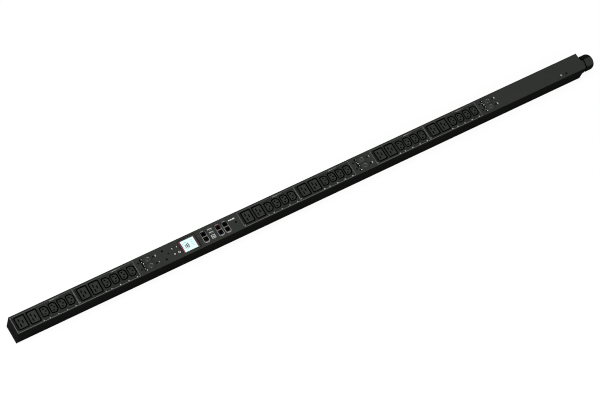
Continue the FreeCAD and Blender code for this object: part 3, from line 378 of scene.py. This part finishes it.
MOULDINGS = {
    "outlet_black": dict(base=(0.0036, 0.0039, 0.0035), light=(0.0058, 0.0062, 0.0056),
                         specular=0.37, deep=(56.2, 57.1), shade_mm=1.3,
                         # rim colour: a painted highlight on the raised rims
                         rim=dict(start=57.25, full=57.75, colour=(0.072, 0.075, 0.071),
                                  smoother=0.10),
                         far=dict(foot=20.4, outside=22.2, strength=0.60)),
    # the dark sheet at each module's end: painted shade
    "bezel_matte": dict(base=(0.0028, 0.0030, 0.0028), light=(0.0042, 0.0045, 0.0042),
                        rough=0.62, specular=0.20, edge_mix=0.1, worn=0.02),
    "socket_black": dict(base=(0.0046, 0.0049, 0.0045), light=(0.0070, 0.0074, 0.0068),
                         grain=2200.0, bump_mm=0.02, rough=0.46, deep=(55.8, 56.8),
                         shade_mm=1.7),
    "rocker_black": dict(base=(0.0050, 0.0053, 0.0049), light=(0.0078, 0.0082, 0.0075),
                         rough=0.40, deep=(55.4, 56.6), shade_mm=0.7),
    "case_black": dict(base=(0.0035, 0.0036, 0.0035), light=(0.0050, 0.0051, 0.0050),
                       rough=0.5, deep=(56.0, 57.2)),
    "button_black": dict(base=(0.0055, 0.0058, 0.0053), light=(0.0080, 0.0084, 0.0078),
                         rough=0.42),
    "gland_black": dict(base=(0.0040, 0.0043, 0.0039), light=(0.0062, 0.0066, 0.0060),
                        grain=1500.0, bump_mm=0.03, rough=0.36, edge_mm=0.8, edge_mix=0.25,
                        specular=0.52),
    "seal_rubber": dict(base=(0.006, 0.006, 0.006), light=(0.010, 0.010, 0.010), rough=0.78),
    "wire_jacket": dict(base=(0.012, 0.012, 0.012), light=(0.02, 0.02, 0.02), rough=0.45),
    "block_grey": dict(base=(0.20, 0.21, 0.21), light=(0.26, 0.27, 0.27), rough=0.5),
    "coil_blue": dict(base=(0.012, 0.035, 0.13), light=(0.02, 0.05, 0.18), rough=0.35),
    "liner_film": dict(base=(0.5, 0.5, 0.45), light=(0.58, 0.58, 0.52), rough=0.4),
    "mask_black": dict(base=(0.004, 0.004, 0.004), light=(0.006, 0.006, 0.006), rough=0.25),
    "mask_maroon": dict(base=(0.085, 0.0090, 0.0120), light=(0.105, 0.0120, 0.0160),
                        rough=0.3, specular=0.3, tint=(1.0, 0.8, 0.8)),
    "mask_brown": dict(base=(0.042, 0.0120, 0.0120), light=(0.052, 0.0150, 0.0150),
                       rough=0.3, specular=0.3, tint=(1.0, 0.9, 0.88)),
}
PLATINGS = {
    "zinc_steel": dict(base=(0.62, 0.63, 0.62), light=(0.82, 0.83, 0.81), rough=0.3),
    "nickel": dict(base=(0.50, 0.51, 0.50), light=(0.68, 0.69, 0.67), rough=0.33),
    "copper": dict(base=(0.70, 0.33, 0.18), light=(0.85, 0.47, 0.30), rough=0.3),
    "gold_contact": dict(base=(0.10, 0.07, 0.025), light=(0.15, 0.105, 0.045), rough=0.3),
    "terminal_brass": dict(base=(0.66, 0.5, 0.24), light=(0.8, 0.64, 0.36), rough=0.34),
}
INKS = {
    # the glow of these inks is painted light; ink gives none
    "ink": dict(base=(0.72, 0.73, 0.71), glow=0.16),
    "ink_label": dict(base=(0.34, 0.35, 0.34), glow=0.05),
    "ink_mid": dict(base=(0.30, 0.31, 0.30), glow=0.03),
    "ink_dim": dict(base=(0.13, 0.135, 0.13)),
    "ink_worn": dict(base=(0.055, 0.057, 0.055)),
}
DISPLAY_AREAS = {
    "screen_white": dict(base=(0.85, 1.0, 0.99), glow=1.02),
    "screen_red": dict(base=(0.20, 0.008, 0.022), glow=0.9),
    "screen_dark_red": dict(base=(0.075, 0.018, 0.020), glow=0.6),
    "screen_grey": dict(base=(0.10, 0.15, 0.17), glow=0.35),
    "screen_cyan": dict(base=(0.42, 0.86, 0.95), glow=0.7),
}
for family, finishes in ((powder_coat, POWDER_COATS), (moulded, MOULDINGS), (plated, PLATINGS),
                         (printed, INKS), (lit, DISPLAY_AREAS)):
    for name, settings in finishes.items():
        family(name, **settings)


def circuit_board():
    """Green board with blocks of traces along x and pale pads."""
    t = new_material("circuit_board")
    at = t.coords()
    lanes = t.math("FRACT", t.multiply(t.split(at)[1], 420.0))
    trace = t.ramp(lanes, (0.0, 0.0), (0.30, 0.0), (0.34, 1.0), (0.62, 1.0), (0.66, 0.0))
    blocks = t.rise(t.noise(at, 90.0, detail=0.0), 0.48, 0.50)
    copper = t.multiply(trace, blocks)
    colour = t.mix(copper, (0.008, 0.075, 0.03), (0.02, 0.15, 0.06))
    pads = t.rise(t.noise(at, 800.0, detail=1.0), 0.72, 0.74)
    colour = t.mix(pads, colour, (0.55, 0.5, 0.36))
    t.surface(colour, t.subtract(0.4, t.multiply(pads, 0.15)), copper, height_mm=0.03)


def clear_window():
    """Clear sheet with a reflection-cutting coat, its upright edges painted black."""
    t = new_material("window_clear")
    grain = t.noise(t.coords(), 500.0)
    clear = t.new("ShaderNodeBsdfTransparent", {"Color": (0.96, 0.98, 0.98)})
    gloss = t.new("ShaderNodeBsdfGlossy", {
        "Color": (0.20, 0.22, 0.23), "Roughness": t.add(0.10, t.multiply(grain, 0.10))})
    fresnel = t.new("ShaderNodeFresnel", {"IOR": 1.40})
    sheet = t.mix_shader(fresnel.outputs[0], clear.outputs[0], gloss.outputs[0])
    paint = t.new("ShaderNodeBsdfDiffuse", {
        "Color": t.mix(grain, (0.0016, 0.0017, 0.0017), (0.0034, 0.0035, 0.0034))})
    normal = t.new("ShaderNodeNewGeometry").outputs["True Normal"]
    level = t.rise(t.math("ABSOLUTE", t.split(normal)[2]), 0.75, 0.85)
    t.finish(t.mix_shader(level, paint.outputs[0], sheet))


def usb_metal():
    """Stained plating for the port shells."""
    t = new_material("usb_metal")
    at = t.coords()
    stain = t.rise(t.noise(at, 300.0), 0.3, 0.7)
    lines = t.noise(at, 2600.0, detail=2.0)
    colour = t.mix(stain, (0.46, 0.47, 0.46), (0.60, 0.61, 0.60))
    roughness = t.add(0.30, t.multiply(lines, 0.14))
    t.surface(colour, roughness, lines, height_mm=0.004, metallic=0.55)


def shield_plated():
    """Plated jack shields, painted darker towards the far side as shade, with lightened edges:
    edge rubbing and a painted highlight.
    """
    shade_length_mm = 36.0
    t = new_material("shield_plated")
    at = t.coords()
    stain = t.noise(at, 240.0, detail=4.0)
    lines = t.noise(at, 2400.0, detail=2.0)
    along = t.add(t.multiply(t.split(at)[1], 1.0 / (shade_length_mm * MM)), 0.5)
    near = t.mix(stain, (0.26, 0.265, 0.26), (0.36, 0.365, 0.36))
    far = t.mix(stain, (0.055, 0.056, 0.055), (0.10, 0.102, 0.10))
    # painted shade: darker towards the far side
    shaded = t.mix(t.rise(along, 0.05, 0.95), near, far)
    # edges lightened: edge rubbing and a painted highlight
    rub_highlight = t.multiply(t.edge(0.25, 0.02, 0.4), 0.4)
    colour = t.mix(rub_highlight, shaded, (0.40, 0.41, 0.40))
    roughness = t.add(0.34, t.multiply(lines, 0.14))
    t.surface(colour, roughness, lines, height_mm=0.004, metallic=1.0)


def ground_plated():
    """A bright plated head on a duller washer."""
    screw_x, screw_y, _ = top_middle("ground_screw")
    t = new_material("ground_plated")
    at = t.coords()
    x, y, _ = t.split(at)
    dx = t.subtract(x, screw_x * MM)
    dy = t.subtract(y, screw_y * MM)
    radius = t.math("SQRT", t.add(t.multiply(dx, dx), t.multiply(dy, dy)))
    # the head ends between 0.50 and 0.66 of 5 mm
    head = t.ramp(t.multiply(radius, 1.0 / (5.0 * MM)), (0.50, 1.0), (0.66, 0.0))
    stain = t.noise(at, 420.0, detail=4.0)
    lines = t.noise(at, 3000.0, detail=2.0)
    bright = t.mix(stain, (0.34, 0.35, 0.34), (0.50, 0.51, 0.49))
    dull = t.mix(stain, (0.05, 0.05, 0.05), (0.16, 0.16, 0.16))
    roughness = t.add(0.24, t.multiply(lines, 0.16))
    t.surface(t.mix(head, dull, bright), roughness, lines, height_mm=0.004, metallic=1.0)


def rj45_housing():
    """Jack housings: painted black in the mouths and below the face as shade, pale round them;
    the middle pair is tinted.
    """
    mouth_x = (-344.6, -300.1, -279.3)
    tinted_x = mouth_x[1]
    row_y = 8.2
    face_z = 57.0
    t = new_material("rj45_housing")
    at = t.coords()
    x, y, z = t.split(at)
    grain = t.noise(at, 2200.0, detail=2.0)
    stain = t.noise(at, 260.0)

    def near(value, centre, half):
        return t.below(t.math("ABSOLUTE", t.subtract(value, centre * MM)), half, 0.15)

    columns = near(x, mouth_x[0], 6.9)
    for centre in mouth_x[1:]:
        columns = t.math("MAXIMUM", columns, near(x, centre, 6.9))
    rows = t.math("MAXIMUM", near(y, row_y, 6.3), near(y, -row_y, 6.3))
    mouths = t.multiply(columns, rows)
    # mouths and all below the face are painted black: painted shade
    black = t.math("MAXIMUM", mouths, t.below(z, face_z, 0.05))
    # blue on the near side, red on the far side
    side = t.rise(t.add(t.multiply(y, 500.0), 0.5), 0.45, 0.55)
    tint = t.mix(side, (0.0030, 0.0045, 0.0120), (0.0240, 0.0030, 0.0030))
    dark = t.mix(near(x, tinted_x, 8.6), (0.0012, 0.0013, 0.0012), tint)
    pale = t.mix(stain, (0.20, 0.208, 0.20), (0.30, 0.31, 0.30))
    t.surface(t.mix(black, pale, dark), t.add(0.5, t.multiply(grain, 0.15)), grain,
              height_mm=0.012, specular=t.add(0.12, t.multiply(t.invert(black), 0.4)))


for build in (circuit_board, clear_window, usb_metal, shield_plated, ground_plated,
              rj45_housing):
    build()

# ---------------------------------------------------------------- CAD nodes: finish and shading
NODE_FINISH = {
    "chassis_channel": "powder_black", "end_cap_plain": "powder_black",
    "end_plate_gland": "powder_black", "front_panel_control": "panel_black",
    "front_panel_middle": "panel_black", "front_panel_supply": "panel_black",
    "insulating_liner": "liner_film", "end_screws": "blued_steel",
    "panel_screws": "black_steel", "breaker_screws": "breaker_steel",
    "ground_screw": "ground_plated", "rear_inserts": "zinc_steel",
    "busbars_line": "copper", "busbars_neutral": "copper", "busbars_earth": "copper",
    "breaker_cases": "case_black", "breaker_pivot_pins": "nickel",
    "breaker_terminals": "terminal_brass", "display_module": "mask_black",
    "display_window": "window_clear", "controller_board": "circuit_board",
    "tact_switches": "case_black", "rj45_shields": "shield_plated",
    "rj45_contacts": "gold_contact", "rj45_housings": "rj45_housing",
    "usb_ports": "usb_metal", "supply_wires": "wire_jacket",
    "metering_boards": "circuit_board", "current_transformers": "coil_blue",
    "power_supply_board": "circuit_board", "terminal_block": "block_grey",
    "gland_body": "gland_black", "gland_locknut": "gland_black", "gland_seal": "seal_rubber",
    "gland_thrust_ring": "gland_black", "gland_dome_nut": "gland_black",
    "reset_button": "button_black",
}
# numbered or grouped nodes, by the start of their names
PREFIX_FINISH = {
    "outlet_bezel": "outlet_black", "socket_carrier": "socket_black",
    "breaker_rocker": "rocker_black", "button_": "button_black",
}
CREASE_ANGLE = math.radians(28)


def finish_of(node):
    for prefix, finish in PREFIX_FINISH.items():
        if node.startswith(prefix):
            return finish
    return NODE_FINISH[node]


for name, ob in NODES.items():
    mesh = ob.data
    mesh.materials.clear()
    mesh.materials.append(MATERIALS[finish_of(name)])
    mesh.polygons.foreach_set("use_smooth", [True] * len(mesh.polygons))
    mesh.update()
    ob.modifiers.new("creases", "EDGE_SPLIT").split_angle = CREASE_ANGLE


# ---------------------------------------------------------------- printed shapes
def new_object(name, verts, faces, finish):
    mesh = bpy.data.meshes.new(name)
    mesh.from_pydata(verts, [], faces)
    mesh.update()
    mesh.materials.append(MATERIALS[finish])
    ob = bpy.data.objects.new(name, mesh)
    bpy.context.scene.collection.objects.link(ob)
    return ob


def flat(x, y, z):
    """Places u, v and height h round the point x, y on a level face at z, all in mm."""
    return lambda u, v, h: ((x + u) * MM, (y + v) * MM, (z + h) * MM)


def polar(u, v, radius, degrees):
    angle = math.radians(degrees)
    return u + radius * math.cos(angle), v + radius * math.sin(angle)


class Sheet:
    """Collects printed shapes, in millimetres, as thin solids from bottom to top.

    place(u, v, h) turns a point of the sheet into a point in space."""

    # each digit as a seven-segment pattern: a top, then clockwise b to f, g middle
    DIGITS = {"0": "abcdef", "1": "bc", "2": "abged", "3": "abgcd", "4": "fgbc",
              "5": "afgcd", "6": "afgedc", "7": "abc", "8": "abcdefg", "9": "abcdfg"}

    def __init__(self, place, bottom=-0.01, top=0.045):
        self.place, self.bottom, self.top = place, bottom, top
        self.verts, self.faces = [], []

    def poly(self, points):
        n, base = len(points), len(self.verts)
        for h in (self.bottom, self.top):
            self.verts += [self.place(u, v, h) for u, v in points]
        self.faces.append([base + i for i in range(n)][::-1])
        self.faces.append([base + n + i for i in range(n)])
        for i in range(n):
            j = (i + 1) % n
            self.faces.append([base + i, base + j, base + n + j, base + n + i])

    def bar(self, u, v, width, height):
        """A bar with rounded ends, centred on u, v."""
        radius = min(width, height) / 2
        if width >= height:
            first, run_u, run_v = -90, width / 2 - radius, 0.0
        else:
            first, run_u, run_v = 0, 0.0, height / 2 - radius
        self.poly([polar(u + side * run_u, v + side * run_v, radius, start + 30 * i)
                   for side, start in ((1, first), (-1, first + 180)) for i in range(7)])

    def bars(self, spans, v, height):
        """A row of bars, each given by its two ends along u."""
        for start, end in spans:
            self.bar((start + end) / 2, v, end - start, height)

    def rect(self, u0, u1, v0, v1):
        self.poly([(u0, v0), (u1, v0), (u1, v1), (u0, v1)])

    def ring(self, u, v, inner, outer, n=28, start=0.0, end=360.0):
        """A ring, or an arc of one between two angles in degrees, as n blocks."""
        for i in range(n):
            a = start + (end - start) * i / n
            b = start + (end - start) * (i + 1) / n
            self.poly([polar(u, v, inner, a), polar(u, v, outer, a),
                       polar(u, v, outer, b), polar(u, v, inner, b)])

    def disc(self, u, v, radius, n=24):
        self.poly([polar(u, v, radius, 360 * i / n) for i in range(n)])

    def stroke(self, u0, v0, u1, v1, width):
        du, dv = u1 - u0, v1 - v0
        length = math.hypot(du, dv)
        pu, pv = -dv / length * width / 2, du / length * width / 2
        self.poly([(u0 + pu, v0 + pv), (u0 - pu, v0 - pv),
                   (u1 - pu, v1 - pv), (u1 + pu, v1 + pv)])

    def digits(self, text, u, v, height, width):
        """A number centred on u, v, drawn with strokes of the given width."""
        cell = height * 0.56
        gap = height * 0.30
        over = width / 2
        low, high = v - height / 2, v + height / 2
        left = u - (len(text) * cell + (len(text) - 1) * gap) / 2
        for digit in text:
            right = left + cell
            segments = {
                "a": (left - over, high, right + over, high),
                "b": (right, v, right, high), "c": (right, low, right, v),
                "d": (left - over, low, right + over, low),
                "e": (left, low, left, v), "f": (left, v, left, high),
                "g": (left, v, right, v)}
            for segment in self.DIGITS[digit]:
                self.stroke(*segments[segment], width)
            left += cell + gap

    def make(self, name, finish, body="strip"):
        ob = new_object(name, self.verts, self.faces, finish)
        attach(ob, body)


# ---------------------------------------------------------------- outlet modules
OUTLET_FACE_Z = 57.2
PANEL_Z = top_middle("front_panel_control")[2]
NUMBER_X = (75.5, 92.5, 116.9, 141.2, 165.6)    # outlets 2 to 6, from the module's start
MODULE_LABEL = ((111.2, 113.7), (114.1, 118.6), (119.1, 121.8), (122.3, 125.6))
MODULE_LABEL_END = ((126.4, 131.6), (132.4, 137.8))
LABEL_Y = 19.6


def module_marks(number):
    """Outlet numbers, a label as plain bars, and a dark matt strip across the module's -x end,
    painted shade.
    """
    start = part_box("outlet_bezel_%d" % number)[0].x / MM - 0.05
    place = flat(start, 0.0, OUTLET_FACE_Z)
    first = 6 * (number - 1) + 1

    numbers = Sheet(place)
    for k, x in enumerate(NUMBER_X):
        numbers.digits(str(first + 1 + k), x, -20.9, height=2.2, width=0.5)
    first_x = 5.4 if number == 1 else 3.6
    numbers.digits(str(first), first_x, -18.6, height=1.6, width=0.36)
    numbers.make("outlet_numbers_%d" % number, "ink")

    label = Sheet(place)
    label.bars(MODULE_LABEL, LABEL_Y, height=1.6)
    label.make("module_label_%d" % number, "ink_label")

    label_end = Sheet(place)
    label_end.bars(MODULE_LABEL_END, LABEL_Y, height=1.4)
    label_end.make("module_label_end_%d" % number, "ink_dim")

    # a dark matt sheet beside the raised rim: painted shade
    strip = Sheet(place, bottom=0.01, top=0.03)
    strip.rect(4.4, 8.3, -18.6, 18.6)
    strip.make("module_end_shade_%d" % number, "bezel_matte")


for number in range(1, 7):
    module_marks(number)

# ---------------------------------------------------------------- breaker marks
ROCKER_TILT = math.radians(-7.0)
ROCKER_CROWN = 4.3       # height of the ridge over the pivot
ROCKER_SLOPE = 13.9      # run along u for a fall of 1
OFF_MARK_U = 5.6


def on_rocker(pivot_x, pivot_y, pivot_z):
    """Places u, v on the rocker's two sloping faces, in its rest pose."""
    cos, sin = math.cos(ROCKER_TILT), math.sin(ROCKER_TILT)

    def place(u, v, h):
        z = ROCKER_CROWN - abs(u) / ROCKER_SLOPE + h
        return ((pivot_x + u * cos + z * sin) * MM, (pivot_y + v) * MM,
                (pivot_z - u * sin + z * cos) * MM)
    return place


def rocker_marks(number, place):
    body = "rocker_%d" % number
    on_mark = Sheet(place)
    on_mark.bar(-12.4, -0.4, 0.9, 3.4)
    on_mark.bar(-9.8, 6.2, 1.9, 1.5)
    on_mark.bar(-9.9, -6.0, 2.9, 2.4)
    on_mark.make("rocker_on_mark_%d" % number, "ink", body)

    off_mark = Sheet(place)
    off_mark.ring(OFF_MARK_U, 0.0, 4.6, 5.5, n=36)
    off_mark.make("rocker_off_mark_%d" % number, "ink_worn", body)

    # brighter arcs over the worn ring
    arcs = Sheet(place, bottom=0.046, top=0.06)
    for start, end in ((-146, -108), (8, 40), (58, 96)):
        arcs.ring(OFF_MARK_U, 0.0, 4.5, 5.6, n=8, start=start, end=end)
    arcs.make("rocker_off_worn_%d" % number, "ink_mid", body)


breaker_numbers = Sheet(flat(0, 0, PANEL_Z))
breaker_joints = [joint for joint in frame["joints"] if joint["name"].startswith("breaker_")]
for number, joint in enumerate(breaker_joints, 1):
    x, y, z = (c / MM for c in joint["pos_m"])
    rocker_marks(number, on_rocker(x, y, z))
    breaker_numbers.digits(str(number), x + 27.5, y, height=3.6, width=0.95)
breaker_numbers.make("breaker_numbers", "ink")

# ---------------------------------------------------------------- controller screen
SCREEN_X = top_middle("display_window")[0]
MODULE_TOP = top_middle("display_module")[2]
SCREEN_FACE = flat(SCREEN_X, 0.0, MODULE_TOP - 0.1)
MASK_FACE = flat(SCREEN_X, 0.0, MODULE_TOP)
LIT_X, LIT_Y = 22.5, 16.7                                # half size of the lit area
FIELD_LEFT, FIELD_RIGHT, FIELD_TOP = -19.2, 19.1, 15.1   # the white field
RIGHT_SPLIT = 20.6                                       # where the dark red bar starts
MASK_X, MASK_Y = 26.3, 19.8                              # half size of the mask
HOLE_X, HOLE_Y = 22.6, 16.9                              # half size of the hole in it
GAP = 0.05

AREA_LAYER = dict(place=SCREEN_FACE, bottom=0.004, top=0.02)
MASK_LAYER = dict(place=MASK_FACE, bottom=0.02, top=0.07)


def rect_sheet(name, finish, layer, rects):
    """A sheet of rectangles, each (u0, u1, v0, v1)."""
    sheet = Sheet(**layer)
    for rect in rects:
        sheet.rect(*rect)
    sheet.make(name, finish)


rect_sheet("screen_field", "screen_white", AREA_LAYER,
           [(FIELD_LEFT, FIELD_RIGHT, -LIT_Y, FIELD_TOP)])
rect_sheet("screen_side_bars", "screen_red", AREA_LAYER,
           [(-LIT_X, FIELD_LEFT - GAP, -LIT_Y, LIT_Y),
            (FIELD_RIGHT + GAP, RIGHT_SPLIT - GAP, -LIT_Y, LIT_Y)])
rect_sheet("screen_right_bar", "screen_dark_red", AREA_LAYER,
           [(RIGHT_SPLIT, LIT_X, -LIT_Y, LIT_Y),
            (FIELD_LEFT, FIELD_RIGHT, FIELD_TOP + GAP, LIT_Y)])

reading = Sheet(SCREEN_FACE, bottom=0.022, top=0.04)
for digit, x in (("1", -13.4), ("8", -4.6)):
    reading.digits(digit, x, -1.8, height=9.0, width=2.0)
reading.make("screen_digits", "screen_grey")

dial = Sheet(SCREEN_FACE, bottom=0.022, top=0.036)
dial.ring(-8.6, -0.5, 9.0, 9.9, n=40)
for k in range(4):
    dial.bar(10.5, 8.5 - 5.2 * k, 4.6, 1.3)
dial.make("screen_dial", "screen_cyan")

rect_sheet("display_mask", "mask_black", MASK_LAYER,
           [(-MASK_X, MASK_X, HOLE_Y + GAP, MASK_Y),
            (-MASK_X, MASK_X, -MASK_Y, -HOLE_Y - GAP)])
rect_sheet("display_mask_left", "mask_maroon", MASK_LAYER, [(-MASK_X, -HOLE_X, -HOLE_Y, HOLE_Y)])
rect_sheet("display_mask_right", "mask_brown", MASK_LAYER, [(HOLE_X, MASK_X, -HOLE_Y, HOLE_Y)])

# ---------------------------------------------------------------- controller keys and marks
x, y, _ = top_middle("reset_button")
pinhole = Sheet(flat(x, y, PANEL_Z), bottom=0.012, top=0.03)
pinhole.ring(0.0, 0.0, 1.15, 2.5)
pinhole.make("pinhole_ring", "black_steel")


def key_mark(key):
    mark = Sheet(flat(*top_middle("button_" + key)))
    if key == "up":
        mark.poly([(-2.5, 0.0), (1.5, -2.3), (0.8, 0.0), (1.5, 2.3)])
    elif key == "down":
        mark.poly([(0.0, 2.3), (-1.6, -1.4), (1.6, -1.4)])
    elif key == "cancel":
        mark.stroke(-1.8, -1.8, 1.8, 1.8, width=1.2)
        # the crossing stroke stands a little higher, so the two tops don't coincide
        mark.top = 0.05
        mark.stroke(-1.8, 1.8, 1.8, -1.8, width=1.2)
    else:
        mark.ring(0, 0, 2.0, 3.1)
    mark.make("key_mark_" + key, "ink", key + "_key")


for key in ("up", "down", "cancel", "ok"):
    key_mark(key)

# the marks beside the jacks are laid out from x = -900
PANEL_FACE = flat(-900.0, 0.0, PANEL_Z)

ports = Sheet(PANEL_FACE)
# two signs, each a bar with a disc on its -x half
for x, y in ((576.3, 18.2), (576.5, -17.8)):
    ports.bar(x, y, 5.4, 0.7)
    ports.disc(x - 2.9, y, 0.85)
# a long bar over a short one
ports.bar(541.0, 8.4, 2.6, 1.0)
ports.bar(541.0, 6.4, 1.8, 1.0)
# a bar at the far and near side of each of three places
for x in (555.0, 599.5, 620.3):
    for y in (20.3, -20.3):
        ports.bar(x, y, 5.0, 0.7)
ports.make("port_marks", "ink_dim")

name_bar = Sheet(PANEL_FACE)
name_bar.bars(((632.6, 637.4), (637.9, 643.9), (644.4, 652.2)), 11.5, height=3.2)
name_bar.make("name_bar", "ink")


# ---------------------------------------------------------------- stage
def floor_white():
    """White to the camera, dark to other rays, and clear from below."""
    t = new_material("floor_white")
    camera_ray = t.new("ShaderNodeLightPath").outputs["Is Camera Ray"]
    backfacing = t.new("ShaderNodeNewGeometry").outputs["Backfacing"]
    soft = t.noise(t.coords(), 1.2, detail=2.0)
    pale = t.new("ShaderNodeBsdfDiffuse", {
        "Color": t.mix(soft, (0.135, 0.135, 0.135), (0.15, 0.15, 0.15))})
    glow = t.new("ShaderNodeEmission", {"Color": (1, 1, 1), "Strength": 0.90})
    seen = t.new("ShaderNodeAddShader", {0: pale.outputs[0], 1: glow.outputs[0]})
    dark = t.new("ShaderNodeBsdfDiffuse", {"Color": (0.05, 0.05, 0.05)})
    clear = t.new("ShaderNodeBsdfTransparent")
    top = t.mix_shader(camera_ray, dark.outputs[0], seen.outputs[0])
    t.finish(t.mix_shader(backfacing, top, clear.outputs[0]))


def floor():
    half, z = 20.0, -0.0006
    corners = [(-half, -half, z), (half, -half, z), (half, half, z), (-half, half, z)]
    new_object("floor", corners, [(0, 1, 2, 3)], "floor_white")


def studio_world():
    """White to the camera; other rays see a grey sky that brightens upwards."""
    world = bpy.data.worlds.new("studio")
    bpy.context.scene.world = world
    t = Tree(world)
    camera_ray = t.new("ShaderNodeLightPath").outputs["Is Camera Ray"]
    upward = t.split(t.coords("Generated"))[2]
    sky = t.new("ShaderNodeBackground", {
        "Color": t.ramp(upward, (0.0, 0.02), (0.20, 0.05), (0.55, 0.30), (1.0, 0.60)),
        "Strength": 0.75})
    white = t.new("ShaderNodeBackground", {"Color": (1, 1, 1), "Strength": 1.0})
    t.finish(t.mix_shader(camera_ray, sky.outputs[0], white.outputs[0]),
             "ShaderNodeOutputWorld")


def area_light(name, at, target, size, watts):
    light = bpy.data.lights.new(name, "AREA")
    light.shape = "RECTANGLE"
    light.size, light.size_y = size
    light.energy = watts
    ob = bpy.data.objects.new(name, light)
    ob.location = at
    ob.rotation_euler = (Vector(target) - Vector(at)).to_track_quat("-Z", "Y").to_euler()
    bpy.context.scene.collection.objects.link(ob)


floor_white()
floor()
studio_world()
area_light("top_light", at=(1.7, 0.3, 4.3), target=(1.7, 0.3, 0), size=(5.6, 5.2), watts=61.5)
area_light("near_light", at=(0.2, -2.6, 3.0), target=(0.2, 0, 0), size=(3.6, 0.8), watts=31.0)
area_light("left_light", at=(-3.4, 0.4, 2.0), target=(-0.9, 0, 0), size=(0.8, 2.0), watts=81.0)


# ---------------------------------------------------------------- camera and render settings
def camera():
    """A long lens, high on the -x, near side, rolled so the strip runs across the view."""
    lens = bpy.data.cameras.new("camera")
    lens.sensor_width = 36.0
    lens.lens = 120.24
    lens.shift_x, lens.shift_y = -0.00047, 0.00060
    lens.clip_start, lens.clip_end = 0.05, 60.0
    right = Vector((0.83285064, -0.51564078, 0.2011825))
    up = Vector((0.39084895, 0.80525277, 0.44587562))
    forward = Vector((0.39191442, 0.29271583, -0.87219295))
    pose = Matrix((right, up, -forward)).transposed().to_4x4()
    pose.translation = (-2.12637, -1.56287, 4.65065)
    ob = bpy.data.objects.new("camera", lens)
    ob.matrix_world = pose
    bpy.context.scene.collection.objects.link(ob)
    bpy.context.scene.camera = ob


camera()

scene = bpy.context.scene
# the settings exist only where the Cycles add-on is on
if hasattr(scene, "cycles"):
    scene.cycles.filter_width = 1.0
scene.view_settings.view_transform = "Standard"
scene.view_settings.look = "None"
scene.view_settings.exposure = 0.0
scene.view_settings.gamma = 1.0
